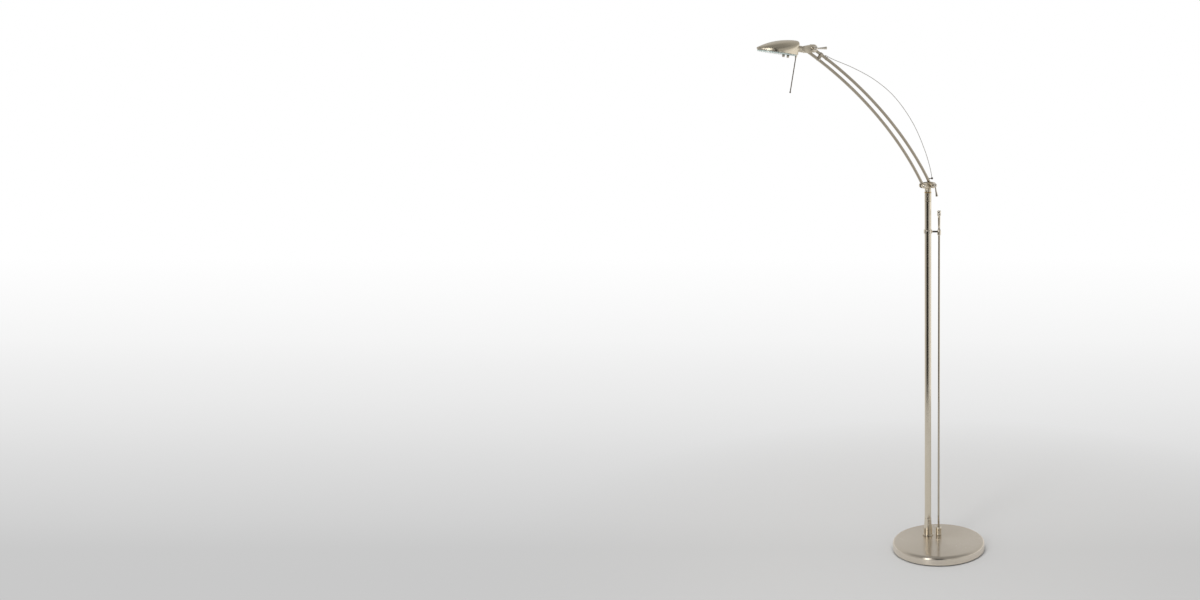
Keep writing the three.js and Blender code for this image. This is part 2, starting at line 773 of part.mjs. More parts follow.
// ---------------------------------------------------------------- head
const head = new THREE.Group();
head.position.copy(headOrigin);
head.rotation.set(0, toAngle(-neckTilt), Math.PI, 'ZYX');
lamp.add(head);

// plan half width, top height and edge height of the shade, as shares of length and width
const planShares = [[0, 0.46], [0.06, 0.6], [0.18, 0.8], [0.34, 0.95], [0.5, 1], [0.65, 0.9],
  [0.78, 0.68], [0.9, 0.38], [1, 0.1]];
const topHeights = [[0, 19.1], [0.07, 19.5], [0.18, 18.9], [0.36, 15.9], [0.47, 13.1], [0.61, 8.2],
  [0.75, 2], [0.89, -5.6], [0.96, -9.2], [1, -11.8]];
const edgeHeights = [[0, 12], [0.05, 8], [0.18, -4.2], [0.34, -11.6], [0.46, -15], [0.6, -15.4],
  [0.72, -15.2], [0.84, -14.6], [1, -13.4]];
const roundRear = (share, run = 0.07) => {
  const t = Math.min(share / run, 1);
  return Math.pow(1 - Math.pow(1 - t, 2.6), 1 / 2.6);
};
const roundTip = (share, run = 0.1) => roundRear(1 - share, run);
const planWidth = (share) =>
  headHalfWidth * smoothAlong(planShares, share) * roundRear(share) * roundTip(share);
const edgeAt = (share) => smoothAlong(edgeHeights, share);
const domeRise = (share) =>
  (smoothAlong(topHeights, share) - edgeAt(share)) * roundRear(share, 0.045) * roundTip(share, 0.06);

const rowShares = (rows) => Array.from({ length: rows + 1 }, (_, i) => 0.5 - 0.5 * Math.cos((Math.PI * i) / rows));

// one skin of the dome: rows along the length, each a half super-ellipse from side to side
const domeSkin = (inset, rows, columns) => {
  const grid = [];
  for (const share of rowShares(rows)) {
    const x = inset + share * (headLength - 2 * inset);
    const width = Math.max(planWidth(share) - inset, 0) * (share > 0 && share < 1 ? 1 : 0);
    const rise = Math.max(domeRise(share) - inset, 0) * (share > 0 && share < 1 ? 1 : 0);
    const row = [];
    for (let j = 0; j <= columns; j += 1) {
      const angle = Math.PI * (j / columns);
      const [c, s] = [Math.cos(angle), Math.sin(angle)];
      const y = width * Math.sign(c) * Math.pow(Math.abs(c), 0.86);
      const z = edgeAt(share) + rise * Math.pow(Math.abs(s), 0.8);
      row.push([x, -y, z]);
    }
    grid.push(row);
  }
  return grid;
};
const skinToTriangles = (grid, reverse, out) => {
  for (let i = 0; i < grid.length - 1; i += 1) {
    for (let j = 0; j < grid[i].length - 1; j += 1) {
      const [a, b, c, d] = [grid[i][j], grid[i + 1][j], grid[i + 1][j + 1], grid[i][j + 1]];
      if (reverse) out.push(a, c, b, a, d, c);
      else out.push(a, b, c, a, c, d);
    }
  }
};
const fromTriangles = (points) => {
  const geometry = new THREE.BufferGeometry();
  geometry.setAttribute('position', new THREE.Float32BufferAttribute(points.flat(), 3));
  return outward(geometry);
};
const shade = () => {
  const [rows, columns] = [22, 16];
  const outer = domeSkin(0, rows, columns);
  const inner = domeSkin(shadeWall, rows, columns);
  const triangles = [];
  skinToTriangles(outer, false, triangles);
  skinToTriangles(inner, true, triangles);
  const rimStrip = (side, flip) => {
    for (let i = 0; i < rows; i += 1) {
      const [a, b, c, d] = [outer[i][side], outer[i + 1][side], inner[i + 1][side], inner[i][side]];
      if (flip) triangles.push(a, c, b, a, d, c);
      else triangles.push(a, b, c, a, c, d);
    }
  };
  rimStrip(0, true);
  rimStrip(columns, false);
  return fromTriangles(triangles);
};
place('shade', shade(), satinNickel, head);

// closed loop of [x, y] around the leaf outline, set in from the shade's edge
const leafLoop = (inset, steps, from = 0) => {
  const side = [];
  for (let i = 0; i <= steps; i += 1) {
    const share = 0.5 - 0.5 * Math.cos((Math.PI * i) / steps);
    const x = from + inset + share * (headLength - from - 2 * inset);
    const width = Math.max(planWidth(x / headLength) - inset, 0.4);
    side.push([x, width]);
  }
  return [...side, ...side.slice().reverse().map(([x, y]) => [x, -y])];
};

// wall that follows the leaf outline between the glass and the shade's edge
const lowerHousing = () => {
  const steps = 22;
  const outer = leafLoop(rimInset, steps);
  const inner = leafLoop(rimInset + rimWall, steps);
  const bottom = glassTop + gap;
  const crest = (x) => edgeAt(Math.min(Math.max(x / headLength, 0), 1)) - 2 * gap;
  const triangles = [];
  const count = outer.length;
  const quad = (a, b, c, d) => triangles.push(a, b, c, a, c, d);
  for (let i = 0; i < count; i += 1) {
    const k = (i + 1) % count;
    const [o0, o1, n0, n1] = [outer[i], outer[k], inner[i], inner[k]];
    const low = (p) => [p[0], p[1], bottom];
    const high = (p, q) => [p[0], p[1], Math.max(crest(q[0]), bottom + 0.8)];
    quad(low(o0), low(o1), high(o1, o1), high(o0, o0));
    quad(low(n1), low(n0), high(n0, o0), high(n1, o1));
    quad(low(o1), low(o0), low(n0), low(n1));
    quad(high(o0, o0), high(o1, o1), high(n1, o1), high(n0, o0));
  }
  return fromTriangles(triangles);
};
const rearWallX = rimInset + rimWall;
const flangeFront = rimInset - gap;
place('lower_housing', cut(
  lowerHousing(),
  rod(neckBore + gap, new THREE.Vector3(-6, 0, 0), new THREE.Vector3(rearWallX + 3, 0, 0), 20),
), satinNickel, head);

const leafShape = (inset, from) => {
  const outline = new THREE.Shape();
  leafLoop(inset, 22, from).forEach(([x, y], i) => (i === 0 ? outline.moveTo(x, y) : outline.lineTo(x, y)));
  return outline;
};
const studSides = [['near', studY, nearNutHeight], ['far', -studY, farNutHeight]];
place('glass_plate', cut(
  (() => {
    const plate = new THREE.ExtrudeGeometry(leafShape(glassInset, glassRear), {
      depth: glassThickness, bevelEnabled: false,
    });
    plate.translate(0, 0, glassTop - glassThickness);
    return plate;
  })(),
  ...studSides.map(([, y]) => upright(studRadius + gap, studX, y, glassTop - glassThickness - 1, glassTop + 1, 16)),
), clearGlass, head);

// bridge inside the housing that carries the lamp holder, the studs and the reflector
const bridgeTop = glassTop + 4;
place('head_bridge', cut(
  join(
    block(studX - 5, studX + 5, -planWidth(studX / headLength) + 6, planWidth(studX / headLength) - 6,
      bridgeTop - 3, bridgeTop),
    block(rearWallX + 2 * gap, studX, -9, 9, bridgeTop - 3, bridgeTop),
    block(rearWallX + 2 * gap, rearWallX + 3, -9, 9, bridgeTop - 3, 4),
  ),
  ...studSides.map(([, y]) => upright(studRadius + gap, studX, y, bridgeTop - 8, bridgeTop + 4, 16)),
), zincSteel, head);
studSides.forEach(([side, y, height]) => {
  const nutTop = glassTop - glassThickness - gap;
  place(`${side}_stud`, upright(
    studRadius, studX, y, nutTop - height + 1.4, bridgeTop + 0.4, 12,
  ), zincSteel, head);
  place(`${side}_glass_nut`, turnedAt([
    [studRadius + gap, nutTop],
    [nutRadius, nutTop],
    [nutRadius, nutTop - height + 0.6],
    [nutRadius - 0.6, nutTop - height],
    [studRadius + gap, nutTop - height],
  ], studX, y, 20), polishedNickel, head);
});

const holderX = rearWallX + 5;
place('lamp_holder', block(holderX, holderX + 13, -7, 7, bridgeTop + gap, bridgeTop + 15), ceramic, head);
place('halogen_bulb', (() => {
  const bulb = turned([
    [0, 0],
    [3.6, 0],
    [bulbRadius, 5],
    [bulbRadius, bulbLength - 7],
    [bulbRadius - 2.4, bulbLength - 2],
    [0, bulbLength],
  ], 20);
  bulb.rotateY(Math.PI / 2);
  bulb.translate(holderX + 13 + gap, 0, bridgeTop + 8);
  return bulb;
})(), clearGlass, head);
place('reflector', (() => {
  const section = new THREE.Shape();
  const [radius, wall, spread] = [11.5, 1, 0.35];
  section.absarc(0, 0, radius, spread, Math.PI - spread, false);
  section.absarc(0, 0, radius - wall, Math.PI - spread, spread, true);
  const trough = new THREE.ExtrudeGeometry(section, { depth: 30, bevelEnabled: false, curveSegments: 16 });
  trough.rotateX(Math.PI / 2);
  trough.rotateZ(Math.PI / 2);
  trough.translate(holderX + 14, 0, bridgeTop + 5);
  return trough;
})(), polishedNickel, head);

// neck: the sleeve turns on the knuckle's stub, and its flange seats on the housing's rear wall
const neckPiece = (pairs, segments = 24) => {
  const geometry = turned(pairs, segments);
  geometry.rotateY(Math.PI / 2);
  return geometry;
};
place('neck_sleeve', neckPiece([
  [neckBore, -neckSleeveLength],
  [neckRadius, -neckSleeveLength],
  [neckRadius, -3],
  [neckBore, -3],
]), satinNickel, head);
place('neck_flange', neckPiece([
  [neckBore, -3 + gap],
  [neckRadius + 1, -3 + gap],
  [neckRadius + 2.6, -1.4],
  [neckRadius + 2.6, flangeFront - 0.4],
  [neckBore, flangeFront - 0.4],
]), polishedNickel, head);

// aiming wand under the rear of the head
const wandTop = glassTop + gap;
const wandPiece = (geometry) => {
  geometry.rotateY(toAngle(wandLean));
  geometry.translate(wandX, wandY, wandTop);
  return geometry;
};
place('wand_ferrule', wandPiece(turned([
  [0, -7.6],
  [2.4, -7.6],
  [3.4, -3],
  [3.4, -0.6],
  [0, -0.6],
], 20)), polishedNickel, head);
place('aiming_wand', wandPiece(upright(wandRadius, 0, 0, -wandLength, -7.6 - gap, 12)), blackPlastic, head);
place('wand_tip', wandPiece(turned([
  [0, -wandLength - gap],
  [wandRadius + 0.5, -wandLength - gap],
  [wandRadius + 0.9, -wandLength - 2.4],
  [wandRadius + 0.4, -wandLength - 4],
  [0, -wandLength - 4.4],
], 16)), blackPlastic, head);

export default lamp;
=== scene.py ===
import json
import math

import bmesh
import bpy
from mathutils import Matrix, Vector


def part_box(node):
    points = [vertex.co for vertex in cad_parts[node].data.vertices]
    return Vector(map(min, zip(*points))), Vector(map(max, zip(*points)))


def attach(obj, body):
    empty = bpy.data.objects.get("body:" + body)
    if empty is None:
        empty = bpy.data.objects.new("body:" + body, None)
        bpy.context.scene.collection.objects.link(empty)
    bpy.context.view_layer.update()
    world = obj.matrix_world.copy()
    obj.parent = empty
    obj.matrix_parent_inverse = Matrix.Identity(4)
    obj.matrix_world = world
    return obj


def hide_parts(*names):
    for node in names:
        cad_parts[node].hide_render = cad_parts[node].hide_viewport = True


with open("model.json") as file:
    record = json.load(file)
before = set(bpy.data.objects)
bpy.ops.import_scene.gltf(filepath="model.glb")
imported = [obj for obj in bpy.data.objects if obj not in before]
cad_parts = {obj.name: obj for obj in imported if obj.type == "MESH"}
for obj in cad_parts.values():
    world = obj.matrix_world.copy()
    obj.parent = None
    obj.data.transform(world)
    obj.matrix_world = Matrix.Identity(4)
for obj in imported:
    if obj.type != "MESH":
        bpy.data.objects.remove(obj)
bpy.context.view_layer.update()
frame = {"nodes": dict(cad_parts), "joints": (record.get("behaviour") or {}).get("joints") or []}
scene = bpy.context.scene
scene.view_settings.view_transform = "Standard"
print("frame loaded, nodes:", len(frame["nodes"]))

mm = 0.001
joints = {j["name"]: j for j in frame["joints"]}


def jointPlace(name):
    return Vector(joints[name]["pos_m"])


def middle(node):
    low, high = (Vector(c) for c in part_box(node))
    return (low + high) / 2


def lowZ(node):
    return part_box(node)[0][2]


def highZ(node):
    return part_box(node)[1][2]


def halfWidth(node):
    low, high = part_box(node)
    return (high[0] - low[0]) / 2


# places that everything else is measured from
stemAxis = middle("stem_tube")
dimmerAxis = middle("dimmer_rod")
mainPivot = jointPlace("arm_tilt")
followerPivot = jointPlace("follower_tilt")
kneePivot = jointPlace("knuckle_level")
link = followerPivot - mainPivot
kneeFollower = kneePivot + link
headPlace = jointPlace("head_roll")
neckAxis = Vector(joints["head_roll"]["axis"]).normalized()
acrossY = Vector((0, 1, 0))
upZ = Vector((0, 0, 1))


# where the lamp is seen from
cameraSetup = {
    "azimuth": -30,        # degrees round the stem
    "distance": 3.76,      # metres from the stem
    "height": 1.51,
    "pitch": -11.76,
    "lens": 40.95,
    "shift": -0.2733,      # the lamp stands right of the middle
}


def makeCamera(setup):
    data = bpy.data.cameras.new("camera")
    data.lens = setup["lens"]
    data.sensor_width = 36
    data.shift_x = setup["shift"]
    data.clip_end = 200
    cam = bpy.data.objects.new("camera", data)
    turn = math.radians(setup["azimuth"])
    cam.location = (
        stemAxis.x + math.sin(turn) * setup["distance"],
        stemAxis.y - math.cos(turn) * setup["distance"],
        setup["height"],
    )
    cam.rotation_euler = (math.radians(90 + setup["pitch"]), 0, turn)
    scene.collection.objects.link(cam)
    scene.camera = cam


makeCamera(cameraSetup)

roomSetup = {
    "paperRadius": 1.55,    # the sheet that the lamp stands on, which polished metal sees
    "floorRadius": 60,
    "sides": 96,
    "drop": 0.4,            # millimetres below the felt
    "roughness": 0.75,
    "shine": 0.1,
    "litFrom": 0.45,        # the lit floor turns into plain backdrop between these
    "litTo": 1.3,
    # painted light: metres behind the lamp, then how pale the floor is painted there, paler further back
    "paintedLightFade": [
        (-0.21, 0.584), (0, 0.591), (0.23, 0.638), (0.5, 0.679), (0.81, 0.723), (1.16, 0.776),
        (1.56, 0.823), (2.04, 0.863), (2.6, 0.913), (3.28, 0.947), (3.85, 0.97), (4.85, 1.0),
    ],
}

# what polished metal sees round it
studioWalls = {
    "keyDirection": -120,   # degrees from +X, seen from above; the directions below count from here
    "low": [
        (-180, 0.85), (-136, 0.85), (-113, 0.8), (-90, 0.5), (-72, 0.32), (-58, 0.2), (-52, 0.14),
        (-48, 0.42), (-44, 0.42), (-40, 0.06), (-30, 0.035), (-14, 0.008), (14, 0.008), (18, 0.04),
        (21, 0.85), (27, 0.85), (31, 0.24), (44, 0.38), (60, 0.8), (75, 0.98), (100, 1.08), (136, 1.0),
        (180, 0.85),
    ],
    "mid": [
        (-180, 0.55), (-130, 0.56), (-80, 0.5), (-40, 0.48), (-14, 0.45), (-11, 0.02), (11, 0.02),
        (14, 0.45), (40, 0.48), (80, 0.48), (130, 0.52), (180, 0.55),
    ],
    "high": [
        (-180, 0.55), (-130, 0.56), (-80, 0.25), (0, 0.2), (80, 0.27), (130, 0.52), (180, 0.55),
    ],
    "lowTop": 0.1,          # sine of the elevation where the low walls end
    "midFrom": 0.16,
    "midTop": 0.5,
    "highFrom": 0.64,
    "overhead": 0.3,
    "overheadFrom": 0.72,
    "overheadFull": 0.95,
    "softbox": {
        "turn": (-37, -33, -24, -21),       # starts, full, fades, gone
        "rise": (-0.02, 0.03, 0.55, 0.7),
        "power": 3.2,
    },
    "warmth": (1.0, 0.985, 0.96, 1),
}


def newNode(tree, kind, **sockets):
    node = tree.nodes.new(kind)
    for key, value in sockets.items():
        setattr(node, key, value)
    return node


def mathNode(tree, operation, a, b):
    node = newNode(tree, "ShaderNodeMath", operation=operation)
    for socket, value in zip(node.inputs, (a, b)):
        if isinstance(value, (int, float)):
            socket.default_value = value
        else:
            tree.links.new(value, socket)
    return node.outputs[0]


def rampNode(tree, factor, stops, interpolation="LINEAR"):
    node = newNode(tree, "ShaderNodeValToRGB")
    node.color_ramp.interpolation = interpolation
    elements = node.color_ramp.elements
    while len(elements) < len(stops):
        elements.new(0.5)
    for element, (position, colour) in zip(elements, stops):
        element.position = position
        element.color = colour
    tree.links.new(factor, node.inputs[0])
    return node.outputs[0]


def grey(value):
    return (value, value, value, 1)


def mapRange(tree, value, low, high, toLow=0.0, toHigh=1.0):
    node = newNode(tree, "ShaderNodeMapRange")
    node.inputs["From Min"].default_value = low
    node.inputs["From Max"].default_value = high
    node.inputs["To Min"].default_value = toLow
    node.inputs["To Max"].default_value = toHigh
    tree.links.new(value, node.inputs["Value"])
    return node.outputs["Result"]


def turnShare(degrees):
    return (degrees + 180) / 360


def mixColour(tree, factor, a, b, blend="MIX"):
    node = newNode(tree, "ShaderNodeMix", data_type="RGBA", blend_type=blend)
    for socket, value in (("Factor", factor), ("A", a), ("B", b)):
        if isinstance(value, (int, float, tuple)):
            node.inputs[socket].default_value = value
        else:
            tree.links.new(value, node.inputs[socket])
    return node.outputs["Result"]


# rises from a to b and falls from c to d
def hump(tree, value, a, b, c, d):
    up = mapRange(tree, value, a, b)
    down = mapRange(tree, value, c, d, 1.0, 0.0)
    return mathNode(tree, "MULTIPLY", up, down)


def makeWorld(walls):
    world = bpy.data.worlds.new("studio")
    scene.world = world
    world.use_nodes = True
    tree = world.node_tree
    tree.nodes.clear()
    links = tree.links
    coords = newNode(tree, "ShaderNodeTexCoord")
    parts = newNode(tree, "ShaderNodeSeparateXYZ")
    links.new(coords.outputs["Generated"], parts.inputs[0])
    x, y, z = parts.outputs
    turn = mathNode(tree, "ARCTAN2", y, x)
    relative = mathNode(tree, "SUBTRACT", turn, math.radians(walls["keyDirection"]))
    wrapped = newNode(tree, "ShaderNodeMath", operation="WRAP")
    links.new(relative, wrapped.inputs[0])
    wrapped.inputs[1].default_value = math.pi
    wrapped.inputs[2].default_value = -math.pi
    share = mapRange(tree, wrapped.outputs[0], -math.pi, math.pi)
    low = rampNode(tree, share, [(turnShare(d), grey(v)) for d, v in walls["low"]])
    high = rampNode(tree, share, [(turnShare(d), grey(v)) for d, v in walls["high"]], "EASE")
    mid = rampNode(tree, share, [(turnShare(d), grey(v)) for d, v in walls["mid"]])
    lowToMid = mixColour(tree, mapRange(tree, z, walls["lowTop"], walls["midFrom"]), low, mid)
    walled = mixColour(tree, mapRange(tree, z, walls["midTop"], walls["highFrom"]), lowToMid, high)
    over = mapRange(tree, z, walls["overheadFrom"], walls["overheadFull"])
    roofed = mixColour(tree, over, walled, grey(walls["overhead"]))
    box = walls["softbox"]
    boxTurn = hump(tree, share, *(turnShare(d) for d in box["turn"]))
    boxShape = mathNode(tree, "MULTIPLY", boxTurn, hump(tree, z, *box["rise"]))
    lit = mixColour(tree, boxShape, roofed, grey(box["power"]))
    warm = mixColour(tree, 1.0, lit, walls["warmth"], "MULTIPLY")
    seen = newNode(tree, "ShaderNodeBackground")
    links.new(warm, seen.inputs["Color"])
    shown = newNode(tree, "ShaderNodeBackground")
    shown.inputs["Color"].default_value = grey(1.0)
    path = newNode(tree, "ShaderNodeLightPath")
    mix = newNode(tree, "ShaderNodeMixShader")
    links.new(path.outputs["Is Camera Ray"], mix.inputs[0])
    links.new(seen.outputs[0], mix.inputs[1])
    links.new(shown.outputs[0], mix.inputs[2])
    out = newNode(tree, "ShaderNodeOutputWorld")
    links.new(mix.outputs[0], out.inputs["Surface"])


# painted light: the floor is painted paler further behind the lamp, and past litFrom it glows as emission
def floorMaterial(room):
    mat = bpy.data.materials.new("floor")
    mat.use_nodes = True
    tree = mat.node_tree
    shader = tree.nodes["Principled BSDF"]
    shader.inputs["Roughness"].default_value = room["roughness"]
    shader.inputs["Specular IOR Level"].default_value = room["shine"]
    coords = newNode(tree, "ShaderNodeTexCoord")
    length = newNode(tree, "ShaderNodeVectorMath", operation="LENGTH")
    tree.links.new(coords.outputs["Object"], length.inputs[0])
    far = mapRange(tree, length.outputs["Value"], room["litFrom"], room["litTo"])
    along = newNode(tree, "ShaderNodeVectorMath", operation="DOT_PRODUCT")
    tree.links.new(coords.outputs["Object"], along.inputs[0])
    away = math.radians(cameraSetup["azimuth"])
    along.inputs[1].default_value = (-math.sin(away), math.cos(away), 0)
    first, last = room["paintedLightFade"][0][0], room["paintedLightFade"][-1][0]
    place = mapRange(tree, along.outputs["Value"], first, last)
    pale = rampNode(tree, place, [((d - first) / (last - first), grey(v)) for d, v in room["paintedLightFade"]])
    tree.links.new(pale, shader.inputs["Base Color"])
    # painted light: the far floor glows in the painted fade, though it is no lamp
    plain = newNode(tree, "ShaderNodeEmission")
    tree.links.new(pale, plain.inputs["Color"])
    mix = newNode(tree, "ShaderNodeMixShader")
    tree.links.new(far, mix.inputs[0])
    tree.links.new(shader.outputs[0], mix.inputs[1])
    tree.links.new(plain.outputs[0], mix.inputs[2])
    tree.links.new(mix.outputs[0], tree.nodes["Material Output"].inputs["Surface"])
    return mat


# a flat disc, or a flat ring when it has an inner radius
def flatSheet(name, inner, outer, sides):
    bm = bmesh.new()
    turns = [2 * math.pi * i / sides for i in range(sides)]
    rings = [
        [bm.verts.new((radius * math.cos(turn), radius * math.sin(turn), 0)) for turn in turns]
        for radius in (inner, outer) if radius > 0
    ]
    if len(rings) == 1:
        bm.faces.new(rings[0])
    else:
        for i in range(sides):
            n = (i + 1) % sides
            bm.faces.new((rings[0][i], rings[1][i], rings[1][n], rings[0][n]))
    mesh = bpy.data.meshes.new(name)
    bm.to_mesh(mesh)
    bm.free()
    return mesh


def makeFloor(room):
    mat = floorMaterial(room)
    paper = room["paperRadius"]
    for name, inner, outer in (("paper", 0, paper), ("floor", paper, room["floorRadius"])):
        mesh = flatSheet(name, inner, outer, room["sides"])
        mesh.materials.append(mat)
        obj = bpy.data.objects.new(name, mesh)
        obj.location.z = -room["drop"] * mm
        obj.visible_glossy = inner == 0     # past the paper, metal sees the room instead
        scene.collection.objects.link(obj)


def makeLight(name, setup):
    data = bpy.data.lights.new(name, "AREA")
    data.shape = "RECTANGLE"
    data.size, data.size_y = setup["size"]
    data.energy = setup["power"]
    light = bpy.data.objects.new(name, data)
    place = Vector(setup["place"])
    light.location = place
    light.rotation_euler = (Vector(setup["aim"]) - place).to_track_quat("-Z", "Y").to_euler()
    light.visible_glossy = False
    scene.collection.objects.link(light)


lightSetup = {
    "top": {"place": (-0.4, -0.4, 3.6), "aim": (-0.1, 0, 0), "size": (2.6, 2.6), "power": 82},
    "side": {"place": (-2.6, -1.2, 2.2), "aim": (-0.2, 0.1, 1.0), "size": (0.7, 2.2), "power": 20},
}

makeWorld(studioWalls)
makeFloor(roomSetup)
for lightName, setup in lightSetup.items():
    makeLight(lightName, setup)
print("camera, room and lights made")


noiseLow, noiseHigh = 0.3, 0.7      # most of a noise texture's values lie between these


# every finish starts as this and adds its own texture
def plainMaterial(name, colour, roughness, metallic=0.0):
    mat = bpy.data.materials.new(name)
    mat.use_nodes = True
    shader = mat.node_tree.nodes["Principled BSDF"]
    shader.inputs["Base Color"].default_value = (*colour, 1)
    shader.inputs["Roughness"].default_value = roughness
    shader.inputs["Metallic"].default_value = metallic
    return mat, mat.node_tree, shader


def objectNoise(tree, scale, detail=3.0, stretch=(1, 1, 1)):
    coords = newNode(tree, "ShaderNodeTexCoord")
    mapping = newNode(tree, "ShaderNodeMapping")
    mapping.inputs["Scale"].default_value = stretch
    noise = newNode(tree, "ShaderNodeTexNoise")
    noise.inputs["Scale"].default_value = scale
    noise.inputs["Detail"].default_value = detail
    tree.links.new(coords.outputs["Object"], mapping.inputs["Vector"])
    tree.links.new(mapping.outputs["Vector"], noise.inputs["Vector"])
    return noise.outputs["Fac"]


def addBump(tree, shader, height, strength, distance):
    bump = newNode(tree, "ShaderNodeBump")
    bump.inputs["Strength"].default_value = strength
    bump.inputs["Distance"].default_value = distance
    tree.links.new(height, bump.inputs["Height"])
    tree.links.new(bump.outputs["Normal"], shader.inputs["Normal"])


def tint(tree, shader, factor, dark, light):
    colour = rampNode(tree, factor, [(noiseLow, (*dark, 1)), (noiseHigh, (*light, 1))])
    tree.links.new(colour, shader.inputs["Base Color"])


platingSetup = {
    "grainShare": 0.65,     # of the change in roughness, the rest is clouding
    "bumpDepth": 0.00005,
    "ringTurn": 0.25,       # turns the shine of spun metal a quarter round, across its rings
}


# plated metal: fine grain one way, slow clouding of the plate, and a little bump
def platedMetal(name, metal):
    plating = platingSetup
    mat, tree, shader = plainMaterial(name, metal["colour"], metal["roughness"], 1.0)
    cloud = objectNoise(tree, metal["cloudScale"], 2.0)
    grain = objectNoise(tree, metal["grainScale"], 2.0, metal["grainStretch"])
    tint(tree, shader, cloud, metal["colour"], metal["lightColour"])
    spread = metal["roughnessSpread"]
    grainPart = mathNode(tree, "MULTIPLY", grain, plating["grainShare"])
    cloudPart = mathNode(tree, "MULTIPLY", cloud, 1 - plating["grainShare"])
    mixed = mathNode(tree, "ADD", grainPart, cloudPart)
    middling = metal["roughness"]
    rough = mapRange(tree, mixed, noiseLow, noiseHigh, middling - spread, middling + spread)
    tree.links.new(rough, shader.inputs["Roughness"])
    addBump(tree, shader, grain, metal["bump"], plating["bumpDepth"])
    if "spun" in metal:     # turned on a lathe, so its shine spreads across the fine rings
        shader.inputs["Anisotropic"].default_value = metal["spun"]
        shader.inputs["Anisotropic Rotation"].default_value = plating["ringTurn"]
        rings = newNode(tree, "ShaderNodeTangent", direction_type="RADIAL", axis="Z")
        tree.links.new(rings.outputs[0], shader.inputs["Tangent"])
    return mat


metalSetup = {
    "satinNickel": {
        "colour": (0.69, 0.62, 0.49), "lightColour": (0.74, 0.672, 0.54),
        "roughness": 0.27, "roughnessSpread": 0.05, "cloudScale": 18,
        "grainScale": 1.0, "grainStretch": (260, 2600, 2600), "bump": 0.1,
    },
    "tubeNickel": {
        "colour": (0.76, 0.685, 0.56), "lightColour": (0.80, 0.73, 0.61),
        "roughness": 0.14, "roughnessSpread": 0.03, "cloudScale": 12,
        "grainScale": 1.0, "grainStretch": (2400, 2400, 60), "bump": 0.02,
    },
    # painted shade: the tubes' nickel painted much darker, for how dark the rods look
    "shadedRodNickel": {
        "colour": (0.50, 0.445, 0.36), "lightColour": (0.55, 0.495, 0.405),
        "roughness": 0.13, "roughnessSpread": 0.03, "cloudScale": 12,
        "grainScale": 1.0, "grainStretch": (700, 2400, 700), "bump": 0.02,
    },
    "turnedNickel": {
        "colour": (0.74, 0.67, 0.56), "lightColour": (0.79, 0.725, 0.62),
        "roughness": 0.2, "roughnessSpread": 0.05, "cloudScale": 9,
        "grainScale": 1.0, "grainStretch": (180, 180, 2600), "bump": 0.08,
    },
    "spunNickel": {
        "colour": (0.75, 0.68, 0.58), "lightColour": (0.80, 0.73, 0.635),
        "roughness": 0.25, "roughnessSpread": 0.03, "cloudScale": 9,
        "grainScale": 1.0, "grainStretch": (180, 180, 2600), "bump": 0.05, "spun": 0.85,
    },
    "polishedNickel": {
        "colour": (0.80, 0.74, 0.64), "lightColour": (0.84, 0.79, 0.70),
        "roughness": 0.09, "roughnessSpread": 0.03, "cloudScale": 40,
        "grainScale": 900, "grainStretch": (1, 1, 1), "bump": 0.02,
    },
    "darkWire": {
        "colour": (0.15, 0.13, 0.105), "lightColour": (0.22, 0.195, 0.16),
        "roughness": 0.3, "roughnessSpread": 0.08, "cloudScale": 60,
        "grainScale": 1200, "grainStretch": (1, 1, 1), "bump": 0.05,
    },
    "paleWire": {
        "colour": (0.42, 0.40, 0.36), "lightColour": (0.52, 0.50, 0.46),
        "roughness": 0.3, "roughnessSpread": 0.06, "cloudScale": 60,
        "grainScale": 1200, "grainStretch": (1, 1, 1), "bump": 0.04,
    },
    "brassMetal": {
        "colour": (0.66, 0.46, 0.20), "lightColour": (0.78, 0.58, 0.30),
        "roughness": 0.24, "roughnessSpread": 0.05, "cloudScale": 80,
        "grainScale": 1.0, "grainStretch": (300, 300, 3000), "bump": 0.08,
    },
    "zincSteel": {
        "colour": (0.50, 0.51, 0.53), "lightColour": (0.60, 0.60, 0.60),
        "roughness": 0.38, "roughnessSpread": 0.08, "cloudScale": 90,
        "grainScale": 500, "grainStretch": (1, 1, 1), "bump": 0.08,
    },
}
metals = {name: platedMetal(name, m) for name, m in metalSetup.items()}


def castIron():
    mat, tree, shader = plainMaterial("castIron", (0.035, 0.035, 0.038), 0.75, 0.3)
    lumps = objectNoise(tree, 900, 6.0)
    tint(tree, shader, lumps, (0.025, 0.025, 0.027), (0.06, 0.058, 0.055))
    addBump(tree, shader, lumps, 0.5, 0.0006)
    return mat


def feltMaterial():
    mat, tree, shader = plainMaterial("felt", (0.02, 0.021, 0.019), 0.95)
    fibres = objectNoise(tree, 1400, 8.0)
    tint(tree, shader, fibres, (0.012, 0.013, 0.012), (0.035, 0.037, 0.034))
    shader.inputs["Sheen Weight"].default_value = 0.3
    addBump(tree, shader, fibres, 0.8, 0.0006)
    return mat


def plasticMaterial(name, colour, roughness):
    mat, tree, shader = plainMaterial(name, colour, roughness)
    skin = objectNoise(tree, 1800, 4.0)
    tint(tree, shader, skin, colour, tuple(min(c * 1.6 + 0.006, 1) for c in colour))
    addBump(tree, shader, skin, 0.2, 0.0002)
    return mat


# float glass: clear through the faces, green where it is seen along its edge
def plateGlass():
    mat, tree, shader = plainMaterial("plateGlass", (0.93, 0.985, 0.965), 0.03)
    shader.inputs["Transmission Weight"].default_value = 1.0
    shader.inputs["IOR"].default_value = 1.5
    smears = objectNoise(tree, 60, 3.0)
    tint(tree, shader, smears, (0.90, 0.975, 0.95), (0.95, 0.99, 0.975))
    rough = mapRange(tree, smears, noiseLow, noiseHigh, 0.02, 0.05)
    tree.links.new(rough, shader.inputs["Roughness"])
    return mat


def edgeGlass():
    mat, tree, shader = plainMaterial("edgeGlass", (0.76, 0.90, 0.86), 0.12)
    shader.inputs["Transmission Weight"].default_value = 0.35
    shader.inputs["IOR"].default_value = 1.5
    grind = objectNoise(tree, 420, 4.0)
    tint(tree, shader, grind, (0.73, 0.89, 0.845), (0.85, 0.945, 0.915))
    addBump(tree, shader, grind, 0.15, 0.0002)
    return mat


